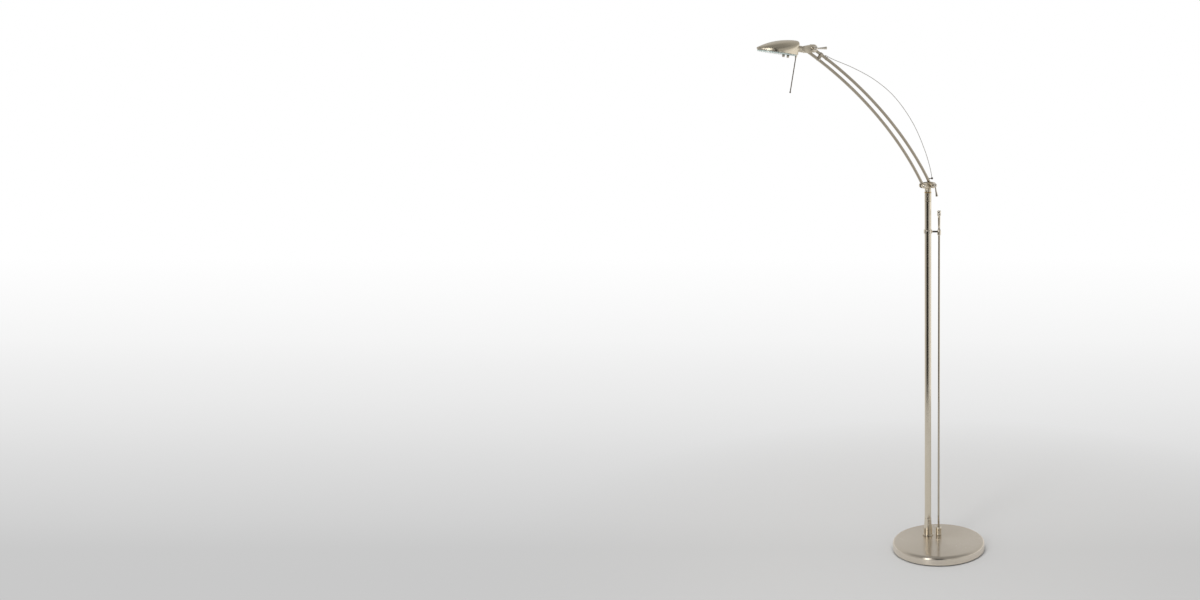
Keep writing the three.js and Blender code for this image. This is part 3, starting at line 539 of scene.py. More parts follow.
def bulbGlass():
    mat, tree, shader = plainMaterial("bulbGlass", (0.97, 0.97, 0.97), 0.02)
    shader.inputs["Transmission Weight"].default_value = 1.0
    shader.inputs["IOR"].default_value = 1.46
    ripple = objectNoise(tree, 160, 2.0)
    addBump(tree, shader, ripple, 0.08, 0.0003)
    return mat


finishes = {
    "castIron": castIron(),
    "felt": feltMaterial(),
    "blackPlastic": plasticMaterial("blackPlastic", (0.014, 0.014, 0.015), 0.42),
    "ceramic": plasticMaterial("ceramic", (0.78, 0.75, 0.68), 0.3),
    "plateGlass": plateGlass(),
    "edgeGlass": edgeGlass(),
    "bulbGlass": bulbGlass(),
    **metals,
}
print("finishes made:", len(finishes))


# merges, turns outwards and smooths a mesh between its sharp edges
def toObject(name, bm, finish, sharp=35):
    bmesh.ops.remove_doubles(bm, verts=bm.verts, dist=1e-7)
    bmesh.ops.recalc_face_normals(bm, faces=bm.faces)
    mesh = bpy.data.meshes.new(name)
    bm.to_mesh(mesh)
    bm.free()
    mesh.polygons.foreach_set("use_smooth", [True] * len(mesh.polygons))
    mesh.set_sharp_from_angle(angle=math.radians(sharp))
    obj = bpy.data.objects.new(name, mesh)
    scene.collection.objects.link(obj)
    if finish:
        mesh.materials.append(finishes[finish])
    return obj


def settle(obj, body, finish, *nodes):
    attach(obj, body)
    if nodes:
        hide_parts(*nodes)
    return obj


def turnTo(axis):
    return upZ.rotation_difference(axis).to_matrix().to_4x4()


# spins (radius, height) pairs in millimetres about an axis; a profile off the axis closes on itself
def lathe(name, pairs, place, finish, axis=upZ, steps=72, sharp=35):
    bm = bmesh.new()
    ring = pairs[0][0] > 0
    columns = []
    for i in range(steps):
        turn = 2 * math.pi * i / steps
        column = []
        for r, h in pairs:
            if r == 0 and i > 0:
                column.append(columns[0][len(column)])
                continue
            column.append(bm.verts.new((r * mm * math.cos(turn), r * mm * math.sin(turn), h * mm)))
        columns.append(column)
    count = len(pairs)
    rows = range(count if ring else count - 1)
    for i in range(steps):
        a, b = columns[i], columns[(i + 1) % steps]
        for j in rows:
            k = (j + 1) % count
            corners = []
            for v in (a[j], b[j], b[k], a[k]):
                if v not in corners:
                    corners.append(v)
            if len(corners) > 2:
                bm.faces.new(corners)
    bmesh.ops.transform(bm, matrix=Matrix.Translation(place) @ turnTo(axis), verts=bm.verts)
    return toObject(name, bm, finish, sharp)


# rounds the corners of a profile, apart from those on the axis and those to keep
def rounded(pairs, radius, steps=4, keep=()):
    result = []
    count = len(pairs)
    for i, point in enumerate(pairs):
        here = Vector(point)
        before, after = Vector(pairs[i - 1]), Vector(pairs[(i + 1) % count])
        if i in keep or point[0] == 0:
            result.append(tuple(here))
            continue
        toBefore, toAfter = before - here, after - here
        reach = min(radius, toBefore.length * 0.45, toAfter.length * 0.45)
        start, end = here + toBefore.normalized() * reach, here + toAfter.normalized() * reach
        for s in range(steps + 1):
            t = s / steps
            result.append(tuple(start * (1 - t) ** 2 + here * 2 * t * (1 - t) + end * t * t))
    return result


# a round bar along a run of points
def sweep(bm, points, radius, sides, caps=True):
    tangents = []
    for i in range(len(points)):
        ahead, behind = points[min(i + 1, len(points) - 1)], points[max(i - 1, 0)]
        tangents.append((ahead - behind).normalized())
    side = tangents[0].cross(acrossY).normalized()
    rings = []
    for point, tangent in zip(points, tangents):
        side = (side - tangent * side.dot(tangent)).normalized()
        other = tangent.cross(side)
        ring = []
        for k in range(sides):
            turn = 2 * math.pi * k / sides
            offset = side * math.cos(turn) + other * math.sin(turn)
            ring.append(bm.verts.new(point + offset * radius))
        rings.append(ring)
    for a, b in zip(rings, rings[1:]):
        for k in range(sides):
            n = (k + 1) % sides
            bm.faces.new((a[k], a[n], b[n], b[k]))
    if caps:
        bm.faces.new(rings[0])
        bm.faces.new(list(reversed(rings[-1])))
    return rings


def solidBox(name, low, high):
    bm = bmesh.new()
    bmesh.ops.create_cube(bm, size=1)
    low, high = Vector(low), Vector(high)
    size = high - low
    for v in bm.verts:
        v.co = low + Vector([(v.co[k] + 0.5) * size[k] for k in range(3)])
    return toObject(name, bm, None)


def solidRod(name, radius, start, end, steps=48):
    length = (end - start).length / mm
    pairs = [(0, 0), (radius, 0), (radius, length), (0, length)]
    return lathe(name, pairs, start, None, (end - start).normalized(), steps)


# a plate with two round ends of different size, lying in the arm's plane
def linkPlate(name, start, end, startRadius, endRadius, y0, y1, steps=24):
    span = end - start
    turn = math.atan2(span.z, span.x)
    spread = math.acos((startRadius - endRadius) * mm / span.length)
    outline = []
    for centre, radius, a0, a1 in (
        (end, endRadius, turn - spread, turn + spread),
        (start, startRadius, turn + spread, turn - spread + 2 * math.pi),
    ):
        for i in range(steps + 1):
            angle = a0 + (a1 - a0) * i / steps
            x, z = math.cos(angle) * radius * mm, math.sin(angle) * radius * mm
            outline.append((centre.x + x, centre.z + z))
    bm = bmesh.new()
    front = [bm.verts.new((x, y0, z)) for x, z in outline]
    back = [bm.verts.new((x, y1, z)) for x, z in outline]
    count = len(outline)
    for i in range(count):
        n = (i + 1) % count
        bm.faces.new((front[i], front[n], back[n], back[i]))
    bm.faces.new(front)
    bm.faces.new(list(reversed(back)))
    return toObject(name, bm, None)


def combine(target, operation, tools):
    for tool in tools:
        mod = target.modifiers.new("combine", "BOOLEAN")
        mod.operation = operation
        mod.solver = "EXACT"
        mod.object = tool
    freeze(target)
    for tool in tools:
        bpy.data.objects.remove(tool)


def freeze(obj):
    graph = bpy.context.evaluated_depsgraph_get()
    mesh = bpy.data.meshes.new_from_object(obj.evaluated_get(graph))
    obj.modifiers.clear()
    obj.data = mesh


# bevels the edges sharper than the first angle, and shades smooth up to the second
def softenEdges(obj, width, finish, segments=3, bevelled=32, smooth=42):
    bm = bmesh.new()
    bm.from_mesh(obj.data)
    bmesh.ops.remove_doubles(bm, verts=bm.verts, dist=2e-6)
    bmesh.ops.dissolve_limit(bm, angle_limit=math.radians(1), verts=bm.verts, edges=bm.edges)
    bm.to_mesh(obj.data)
    bm.free()
    mod = obj.modifiers.new("soften", "BEVEL")
    mod.width = width * mm
    mod.segments = segments
    mod.limit_method = "ANGLE"
    mod.angle_limit = math.radians(bevelled)
    mod.use_clamp_overlap = True        # one very short edge holds the whole bevel back
    mod.harden_normals = False
    freeze(obj)
    obj.data.materials.clear()
    obj.data.materials.append(finishes[finish])
    obj.data.polygons.foreach_set("use_smooth", [True] * len(obj.data.polygons))
    obj.data.set_sharp_from_angle(angle=math.radians(smooth))


def joinPieces(name, pieces, sharp=35):
    bm = bmesh.new()
    for piece in pieces:
        bm.from_mesh(piece.data)
    mesh = bpy.data.meshes.new(name)
    bm.to_mesh(mesh)
    bm.free()
    for mat in pieces[0].data.materials:
        mesh.materials.append(mat)
    mesh.polygons.foreach_set("use_smooth", [True] * len(mesh.polygons))
    mesh.set_sharp_from_angle(angle=math.radians(sharp))
    obj = bpy.data.objects.new(name, mesh)
    scene.collection.objects.link(obj)
    for piece in pieces:
        bpy.data.objects.remove(piece)
    return obj


# a smooth run of values through (place, value) pairs
def smoothAlong(pairs, x):
    last = len(pairs) - 1
    i = 0
    while i < last - 1 and x > pairs[i + 1][0]:
        i += 1

    def slope(k):
        lower, upper = pairs[max(k - 1, 0)], pairs[min(k + 1, last)]
        return (upper[1] - lower[1]) / (upper[0] - lower[0])

    (x0, v0), (x1, v1) = pairs[i], pairs[i + 1]
    run = x1 - x0
    t = min(max((x - x0) / run, 0), 1)
    ease = t * (1 - t)
    return v0 + (v1 - v0) * t * t * (3 - 2 * t) + run * ease * (slope(i) * (1 - t) - slope(i + 1) * t)


baseSetup = {
    "wall": 1.5,
    "edgeRun": 11,          # width of the rounded shoulder
    "edgeDrop": 9.5,        # its height
    "crown": 0.5,           # the top is very slightly domed
}


def shoulderArc(radius, top, run, drop, steps=18):
    arc = []
    for i in range(steps + 1):
        angle = math.pi / 2 * i / steps
        arc.append((radius - run + run * math.sin(angle), top - drop + drop * math.cos(angle)))
    return arc


def makeBase(base):
    radius = halfWidth("base_cover") / mm
    bottom, top = lowZ("base_cover") / mm, highZ("base_cover") / mm
    wall = base["wall"]
    outer = [(0, top)] + [(radius * s, top - base["crown"] * s * s) for s in (0.15, 0.4, 0.65)]
    outer += shoulderArc(radius, top - base["crown"], base["edgeRun"], base["edgeDrop"])
    roll = [
        (radius, bottom + 1.2), (radius - 0.2, bottom + 0.3), (radius - 0.7, bottom),
        (radius - wall, bottom + 0.1),
    ]
    inner = shoulderArc(radius - wall, top - wall, base["edgeRun"] - wall, base["edgeDrop"] - wall)
    cover = lathe(
        "baseCover", outer + roll + list(reversed(inner)) + [(0, top - wall)], Vector((0, 0, 0)),
        "spunNickel", steps=160,
    )
    settle(cover, "stand", "spunNickel", "base_cover")


grommetSetup = {
    "bore": 2.6,
    "bodyRadius": 4.9,
    "faceRadius": 5.0,
    "inside": 5,            # how far it reaches into the base
    "outside": 4,
    "faceFrom": 3.4,
    "round": 0.4,
    "setIn": 0.5,
}


def makeGrommet(grommet):
    place = middle("cord_grommet")
    bore, body, face = grommet["bore"], grommet["bodyRadius"], grommet["faceRadius"]
    inner, step, outer = -grommet["inside"], grommet["faceFrom"], grommet["outside"]
    ring = rounded([
        (bore, inner), (body, inner), (body, step), (face, step), (face, outer), (bore, outer),
    ], grommet["round"])
    start = Vector((0, place.y - grommet["setIn"] * mm, place.z))
    gland = lathe("cordGland", ring, start, "blackPlastic", acrossY, 40)
    settle(gland, "stand", "blackPlastic", "cord_grommet")


# stem tube, the bell at its foot and the joint at its top
stemSetup = {
    "footFlange": 15.5,
    "footBell": 12.3,
    "footTop": 10.2,
    "footBore": 9.8,
    "bellFrom": 6,          # above the base
    "bellBelow": 2,         # below the foot's top
    "tubeRadius": 9.5,
    "tubeWall": 1.3,
    "seam": 0.25,           # chamfer at each end of a tube
    "joint": 0.3,           # gap between the tube and the socket on top of it
    "spindleBore": 4.5,
    "washerOverhang": 0.6,
    "washerRound": 0.5,
}


def makeFoot(stem):
    bottom, top = lowZ("stem_foot") / mm, highZ("stem_foot") / mm
    flange, wide, narrow, bore = stem["footFlange"], stem["footBell"], stem["footTop"], stem["footBore"]
    run = top - bottom - stem["bellFrom"] - stem["bellBelow"]
    bell = []
    for i in range(25):
        t = i / 24
        swell = 0.5 + 0.5 * math.cos(math.pi * t)
        bell.append((narrow + (wide - narrow) * swell, bottom + stem["bellFrom"] + run * t))
    profile = [
        (bore, bottom), (flange - 0.5, bottom), (flange, bottom + 0.5), (flange, bottom + 1.6),
        (flange - 0.4, bottom + 2.3), (flange - 1.2, bottom + 2.6), (wide + 0.5, bottom + 2.9),
        (wide, bottom + 3.6), *bell, (narrow - 0.1, top - 0.4), (narrow - 0.35, top), (bore, top - 0.2),
    ]
    foot = lathe("stemFoot", profile, Vector((stemAxis.x, stemAxis.y, 0)), "tubeNickel", steps=96)
    settle(foot, "stand", "tubeNickel", "stem_foot")


def makeTube(name, node, outer, inner, low, finish, stem):
    seam, high = stem["seam"], highZ(node) / mm
    pairs = [
        (inner, low), (outer - seam, low), (outer, low + seam), (outer, high - seam), (outer - seam, high),
        (inner, high),
    ]
    made = lathe(name, pairs, Vector((stemAxis.x, stemAxis.y, 0)), finish, steps=96)
    settle(made, "stand", finish, node)


def makeStem(stem):
    makeFoot(stem)
    outer, bore = stem["tubeRadius"], stem["spindleBore"]
    tubeLow = lowZ("stem_tube") / mm
    makeTube("stemTube", "stem_tube", outer, outer - stem["tubeWall"], tubeLow, "tubeNickel", stem)
    socketLow = highZ("stem_tube") / mm + stem["joint"]
    makeTube("swivelSocket", "swivel_socket", outer, bore, socketLow, "satinNickel", stem)
    low, high = lowZ("swivel_washer") / mm, highZ("swivel_washer") / mm
    rim = outer + stem["washerOverhang"]
    ring = rounded([(bore, low), (rim, low), (rim, high), (bore, high)], stem["washerRound"])
    washer = lathe("swivelWasher", ring, Vector((stemAxis.x, stemAxis.y, 0)), "brassMetal", steps=96)
    settle(washer, "stand", "brassMetal", "swivel_washer")


# dimmer rod beside the stem, and the bracket that guides it
dimmerSetup = {
    "rodRadius": 2.8,
    "gripRadius": 3.3,
    "gripTopRadius": 3.7,
    "capRadius": 5.3,
    "capGrooves": 3,
    "grooveFrom": 3.2,      # above the cap's foot
    "groovePitch": 1.6,
    "grooveHalf": 0.35,
    "grooveDepth": 0.4,
    "bore": 3.4,
}


def makeDimmer(dimmer):
    place = Vector((dimmerAxis.x, dimmerAxis.y, 0))
    low, high = lowZ("dimmer_rod") / mm, highZ("dimmer_rod") / mm
    bar = [(0, low), (dimmer["rodRadius"], low), (dimmer["rodRadius"], high), (0, high)]
    rodPiece = lathe("dimmerRod", bar, place, "shadedRodNickel", steps=40)
    settle(rodPiece, "dimmer", "shadedRodNickel", "dimmer_rod")
    low, high = lowZ("dimmer_grip") / mm, highZ("dimmer_grip") / mm
    grip = [(0, low), (dimmer["gripRadius"] - 0.5, low), (dimmer["gripRadius"], low + 0.8)]
    grip += [(dimmer["gripTopRadius"], high - 2.2), (dimmer["gripTopRadius"] - 0.5, high), (0, high)]
    gripPiece = lathe("dimmerGrip", grip, place, "tubeNickel", steps=48)
    settle(gripPiece, "dimmer", "tubeNickel", "dimmer_grip")

    low, high = lowZ("dimmer_cap") / mm, highZ("dimmer_cap") / mm
    r = dimmer["capRadius"]
    cap = [(0, low), (r - 1.2, low), (r - 0.4, low + 0.5), (r, low + 1.4)]
    for i in range(dimmer["capGrooves"]):
        h = low + dimmer["grooveFrom"] + i * dimmer["groovePitch"]
        half, depth = dimmer["grooveHalf"], dimmer["grooveDepth"]
        cap += [(r, h - half), (r - depth, h), (r, h + half)]
    cap += [(r, high - 1.6), (r - 0.4, high - 0.6), (r - 1.3, high - 0.1), (r - 2.4, high), (0, high)]
    capPiece = lathe("dimmerCap", cap, place, "polishedNickel", steps=56, sharp=50)
    settle(capPiece, "dimmer", "polishedNickel", "dimmer_cap")

    low, high = lowZ("dimmer_socket") / mm, highZ("dimmer_socket") / mm
    r, bore = halfWidth("dimmer_socket") / mm, dimmer["bore"]
    socket = rounded([
        (bore, low), (r, low), (r, low + 2.2), (r - 0.7, low + 2.8), (r - 0.7, high - 4.5),
        (r - 1.6, high - 1.4), (bore + 1.6, high), (bore, high),
    ], 0.6, keep=(0, 7))
    socketPiece = lathe("dimmerSocket", socket, place, "tubeNickel", steps=64)
    settle(socketPiece, "stand", "tubeNickel", "dimmer_socket")


bracketSetup = {
    "guideRadius": 5.2,
    "clampRadius": 11.8,
    "clampHalf": 5,         # half the height of the ring round the stem
    "clampBore": 9.75,
    "armRoot": 9.9,         # the arm starts inside the ring
    "armInset": 2,          # and ends inside the guide
    "armHalfWidth": 3,
    "armHalfHeight": 2.2,
    "edge": 0.45,
    "overrun": 0.01,        # metres that a bore's cutter runs past the part
}


# clamp ring on the stem, short arm and guide cone
def makeBracket(bracket, bore):
    stem = Vector((stemAxis.x, stemAxis.y, 0))
    place = Vector((dimmerAxis.x, dimmerAxis.y, 0))
    low, high = lowZ("dimmer_bracket") / mm, highZ("dimmer_bracket") / mm
    armHeight = middle("bracket_screw").z / mm
    r, clamp, half = bracket["guideRadius"], bracket["clampRadius"], bracket["clampHalf"]
    cone = lathe("guide", [
        (0, low), (r - 1.6, low), (r - 0.9, low + 0.6), (r, low + 3.2), (r, high - 5.2),
        (r - 1.7, high - 0.3), (r - 2.0, high), (0, high),
    ], place, None, steps=48)
    ring = lathe("ring", [
        (0, armHeight - half), (clamp, armHeight - half), (clamp, armHeight + half), (0, armHeight + half),
    ], stem, None, steps=72)
    towards = place - stem
    width, height = bracket["armHalfWidth"], bracket["armHalfHeight"]
    arm = solidBox(
        "arm", (bracket["armRoot"] * mm, -width * mm, (armHeight - height) * mm),
        (towards.length - bracket["armInset"] * mm, width * mm, (armHeight + height) * mm),
    )
    turn = Matrix.Rotation(math.atan2(towards.y, towards.x), 4, "Z")
    arm.data.transform(Matrix.Translation(stem) @ turn)
    combine(ring, "UNION", [arm, cone])
    under, above = upZ * (low * mm - bracket["overrun"]), upZ * (high * mm + bracket["overrun"])
    stemHole = solidRod("stemHole", bracket["clampBore"], stem + under, stem + above, 72)
    rodHole = solidRod("rodHole", bore, place + under, place + above)
    combine(ring, "DIFFERENCE", [stemHole, rodHole])
    ring.name = "dimmerBracket"
    softenEdges(ring, bracket["edge"], "turnedNickel")
    settle(ring, "stand", "turnedNickel", "dimmer_bracket")

    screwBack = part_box("bracket_screw")[1][1]
    screw = lathe("bracketScrew", [
        (0, -1.6), (1.5, -1.6), (1.5, -0.3), (1.3, 0), (0.8, 0), (0.7, -0.7), (0, -0.7),
    ], Vector((stemAxis.x, screwBack, armHeight * mm)), "zincSteel", acrossY, 24)
    settle(screw, "stand", "zincSteel", "bracket_screw")


# the riveted end of a pin, standing off the face by lift
def pinEnd(name, place, lift, body):
    end = lathe(name, [
        (0, -0.6), (3.6, -0.6), (3.6, lift), (3.2, lift + 0.4), (1.4, lift + 0.55), (1.2, lift + 0.1),
        (0, lift + 0.1),
    ], place, "polishedNickel", acrossY, 40)
    settle(end, body, "polishedNickel")


# yoke on top of the stem
yokeSetup = {
    "barrelRadius": 8.3,
    "followerRadius": 7.4,
    "halfWidth": 9,
    "postRadius": 8.9,
    "slotHalf": 4.4,
    "slotFloor": 6.5,       # below the pivots
    "slotBehind": 12,
    "slotAhead": 13,
    "slotAbove": 15,
    "shoulderFrom": 9.4,    # below the main pivot, where the post starts to close in
    "shoulderTo": 7.2,
    "pinLift": 0.5,
    "edge": 0.9,            # held back to almost nothing by a short edge in the body
}


def makeYoke(yoke):
    front, back = stemAxis.y - yoke["halfWidth"] * mm, stemAxis.y + yoke["halfWidth"] * mm
    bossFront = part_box("yoke")[0][1]
    body = linkPlate("yokeBody", mainPivot, followerPivot, yoke["barrelRadius"], yoke["followerRadius"],
                     front, back)
    boss = solidRod(
        "boss", yoke["barrelRadius"], Vector((mainPivot.x, bossFront, mainPivot.z)),
        Vector((mainPivot.x, front + 1 * mm, mainPivot.z)), 64,
    )
    low = lowZ("yoke") / mm
    rise = mainPivot.z / mm
    r = yoke["postRadius"]
    post = lathe("post", [
        (0, low), (r - 0.3, low), (r, low + 0.3), (r, rise - yoke["shoulderFrom"]),
        (r - 1.2, rise - yoke["shoulderTo"]), (0, rise - yoke["shoulderTo"]),
    ], Vector((stemAxis.x, stemAxis.y, 0)), None, steps=72)
    combine(body, "UNION", [boss, post])
    slot = solidBox(
        "slot",
        followerPivot - Vector((yoke["slotBehind"], yoke["slotHalf"], yoke["slotFloor"])) * mm,
        mainPivot + Vector((yoke["slotAhead"], yoke["slotHalf"], yoke["slotAbove"])) * mm,
    )
    combine(body, "DIFFERENCE", [slot])
    body.name = "yokeBlock"
    softenEdges(body, yoke["edge"], "satinNickel")
    settle(body, "yoke", "satinNickel", "yoke")

    # a turned collar where the lever's hub meets the barrel
    collar = lathe("barrelCollar", [
        (3.0, 0), (6.9, 0), (7.2, 0.25), (7.2, 0.5), (6.6, 0.75), (5.6, 0.75), (5.3, 0.4), (4.4, 0.4),
        (4.2, 0.7), (3.0, 0.7),
    ], Vector((mainPivot.x, bossFront + 0.3 * mm, mainPivot.z)), "polishedNickel", -acrossY, 56)
    settle(collar, "yoke", "polishedNickel")
    cap = lathe("followerCap", [
        (0, -0.5), (4.8, -0.5), (4.8, 0.8), (4.5, 1.3), (3.6, 1.9), (3.2, 2.6), (2.4, 2.9), (0, 3),
    ], Vector((followerPivot.x, front - 0.3 * mm, followerPivot.z)), "polishedNickel", -acrossY, 48)
    settle(cap, "yoke", "polishedNickel", "follower_pin_cap")
    for name, pivot in (("mainPinEnd", mainPivot), ("followerPinEnd", followerPivot)):
        pinEnd(name, Vector((pivot.x, back, pivot.z)), yoke["pinLift"], "yoke")


# clamp levers, a ball with a flared handle
leverSetup = {
    "ballRadius": 5.4,
    "length": 31,
    "neckRadius": 2.0,
    "endRadius": 3.9,
    "flare": 2.6,           # higher keeps the handle slim for longer
    "ballFrom": -0.86,      # share of the radius where the ball leaves its neck
}


def leverHandle(name, place, direction, body, node, lever):
    length = lever["length"]
    pairs = [(0, lever["ballRadius"] - 1.2), (lever["neckRadius"], lever["ballRadius"] - 1.2)]
    for i in range(15):
        t = i / 14
        neck, end = lever["neckRadius"], lever["endRadius"]
        flare = neck + 0.5 * t + (end - neck - 0.5) * t ** lever["flare"]
        pairs.append((flare, lever["ballRadius"] + (length - 1.2 - lever["ballRadius"]) * t))
    pairs += [(lever["endRadius"] - 0.1, length - 0.7), (lever["endRadius"] - 0.5, length - 0.2),
              (lever["endRadius"] - 1.2, length), (0, length - 0.15)]
    made = lathe(name, pairs, place, "polishedNickel", direction, 40)
    return settle(made, body, "polishedNickel", node)


def makeLever(prefix, hubNode, handleNode, body, pivot, degrees, lever):
    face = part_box(hubNode)[1][1]
    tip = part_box(hubNode)[0][1]
    ballY = tip / mm + lever["ballRadius"]
    depth = face / mm - ballY
    r = lever["ballRadius"]
    pairs = [(0, -depth), (3.0, -depth), (3.0, -depth + 0.5), (2.7, -depth + 0.9), (2.7, -r * 0.92)]
    start = math.asin(lever["ballFrom"])
    for i in range(22):
        angle = start + (math.pi / 2 - start) * i / 21
        pairs.append((max(r * math.cos(angle), 0) if i < 21 else 0, r * math.sin(angle)))
    place = Vector((pivot.x, ballY * mm, pivot.z))
    hub = lathe(prefix + "Hub", pairs, place, "polishedNickel", -acrossY, 48)
    settle(hub, body, "polishedNickel", hubNode)
    angle = math.radians(degrees)
    direction = Vector((math.sin(angle), 0, math.cos(angle)))
    leverHandle(prefix + "Handle", place, direction, body, handleNode, lever)


# the two curved rods
armSetup = {
    "rodRadius": 4,
    "startAngle": 62.5,
    "endAngle": 33,
    "startPull": 0.3,
    "endPull": 0.36,
    "eyeRadius": 5.9,
    "eyeHalfWidth": 3.9,
    "bore": 2.9,
    "steps": 120,
}


def armPoints(arm, start, count):
    end = start + (kneePivot - mainPivot)
    chord = (end - start).length

    def direction(degrees):
        turn = math.radians(degrees)
        return Vector((-math.cos(turn), 0, math.sin(turn)))

    b = start + direction(arm["startAngle"]) * chord * arm["startPull"]
    c = end - direction(arm["endAngle"]) * chord * arm["endPull"]
    points = []
    for i in range(count + 1):
        t = i / count
        points.append(
            start * (1 - t) ** 3 + b * 3 * t * (1 - t) ** 2 + c * 3 * t * t * (1 - t) + end * t ** 3
        )
    return points


def makeRod(name, node, body, start, arm):
    points = armPoints(arm, start, arm["steps"])
    inset = (arm["bore"] + 1.2) * mm
    ends = [points[0], points[-1]]
    kept = [p for p in points if (p - ends[0]).length > inset and (p - ends[1]).length > inset]
    bm = bmesh.new()
    sweep(bm, kept, arm["rodRadius"] * mm, 28)
    rodMesh = toObject(name + "Bar", bm, "shadedRodNickel")
    eyes = []
    for i, place in enumerate(ends):
        w, r = arm["eyeHalfWidth"], arm["eyeRadius"]
        ring = rounded([(arm["bore"], -w), (r, -w), (r, w), (arm["bore"], w)], 0.7)
        eyes.append(lathe(f"{name}Eye{i}", ring, place, "shadedRodNickel", acrossY, 56))
    made = joinPieces(name, [rodMesh, *eyes])
    return settle(made, body, "shadedRodNickel", node)


# link near the top of the rods, fixed to the main rod and straddling the other
forkSetup = {
    "place": 0.945,
    "reach": 18.4,
    "cheek": 1.0,
    "halfLength": 3.5,
    "cheekHalf": 3,
    "clearance": 0.3,
    "gapFrom": 1.2,         # above the main rod, where the two cheeks part
    "gapHalf": 9,
    "pinBack": 3.6,         # from the end of the cheeks to the rivet
    "edge": 0.3,
}


def curveAt(points, share):
    lengths = [0.0]
    for p, q in zip(points, points[1:]):
        lengths.append(lengths[-1] + (q - p).length)
    goal = share * lengths[-1]
    for i in range(1, len(points)):
        if lengths[i] >= goal:
            t = (goal - lengths[i - 1]) / (lengths[i] - lengths[i - 1])
            tangent = (points[i] - points[i - 1]).normalized()
            return points[i - 1].lerp(points[i], t), tangent
    return points[-1], (points[-1] - points[-2]).normalized()


def makeFork(fork, arm):
    place, tangent = curveAt(armPoints(arm, mainPivot, 200), fork["place"])
    side = Vector((-tangent.z, 0, tangent.x))
    if side.dot(link) < 0:
        side.negate()
    r, gap, half = arm["rodRadius"], fork["clearance"], fork["cheekHalf"]
    outer = r + gap + fork["cheek"]
    wide = outer * mm
    alongX, centre = Vector((1, 0, 0)), Vector((0, 0, 0))
    length, roundFrom = fork["halfLength"], fork["reach"] - half
    tube = [(0, -length), (outer, -length), (outer, length), (0, length)]
    sleeve = lathe("sleeve", tube, centre, None, alongX, 48)
    cheeks = solidBox("cheeks", (-half * mm, -wide, 0), (half * mm, wide, roundFrom * mm))
    disc = [(0, -outer), (half, -outer), (half, outer), (0, outer)]
    endRound = lathe("endRound", disc, Vector((0, 0, roundFrom * mm)), None, acrossY, 40)
    combine(sleeve, "UNION", [cheeks, endRound])
    bore = r + gap * 0.4
    hole = lathe("hole", [(0, -20), (bore, -20), (bore, 20), (0, 20)], centre, None, alongX, 48)
    gapBox = solidBox(
        "gapBox", (-fork["gapHalf"] * mm, -(r + gap) * mm, (r + fork["gapFrom"]) * mm),
        (fork["gapHalf"] * mm, (r + gap) * mm, (fork["reach"] + 3) * mm),
    )
    combine(sleeve, "DIFFERENCE", [hole, gapBox])
    across = side.cross(tangent)
    turn = Matrix((tangent, across, side)).transposed().to_4x4()
    sleeve.data.transform(Matrix.Translation(place) @ turn)
    sleeve.name = "guideFork"
    softenEdges(sleeve, fork["edge"], "shadedRodNickel")
    settle(sleeve, "main_arm", "shadedRodNickel", "guide_fork")
    pinPlace = place + side * (fork["reach"] - fork["pinBack"]) * mm
    for i, way in enumerate((-1, 1)):
        rivet = lathe(f"forkRivet{i}", [(0, -0.2), (1.5, -0.2), (1.5, 0.15), (1.0, 0.5), (0, 0.6)],
                      pinPlace + acrossY * way * wide, "polishedNickel", acrossY * way, 20)
        settle(rivet, "main_arm", "polishedNickel")


# bow wire beside the rods, with a ball at its foot
wireSetup = {
    "radius": 0.8,
    "ballRadius": 3.1,
    "ball": (5.4, 17),
    # from the main pivot, level and up: the wire leaves the ball and bows away from the rod
    "route": [
        (4.6, 20.9), (-0.3, 44.2), (-17.8, 96), (-54.7, 170.9), (-111.7, 243.7), (-171.1, 290),
        (-235.6, 323),
    ],
    "landing": [(12, -3), (-8, 7)],     # the same way, from where the wire meets the rod
    "lift": 0.3,
    "endShare": 0.9,        # of the rod's length, where the wire meets it
    "tailShare": 0.912,
    "collarShare": 0.908,
    "stubShare": 0.036,
}


def splineThrough(points, steps):
    result = []
    last = len(points) - 1
    for i in range(last):
        p0 = points[i - 1] if i > 0 else points[0] * 2 - points[1]
        p1, p2 = points[i], points[i + 1]
        p3 = points[i + 2] if i + 2 <= last else points[last] * 2 - points[last - 1]
        d01, d12, d23 = ((b - a).length ** 0.5 for a, b in ((p0, p1), (p1, p2), (p2, p3)))
        m1 = (p2 - p1) + ((p1 - p0) / d01 - (p2 - p0) / (d01 + d12)) * d12
        m2 = (p2 - p1) + ((p3 - p2) / d23 - (p3 - p1) / (d12 + d23)) * d12
        for s in range(steps):
            t = s / steps
            result.append(
                p1 * (2 * t ** 3 - 3 * t * t + 1) + m1 * (t ** 3 - 2 * t * t + t)
                + p2 * (3 * t * t - 2 * t ** 3) + m2 * (t ** 3 - t * t)
            )
    result.append(points[last])
    return result


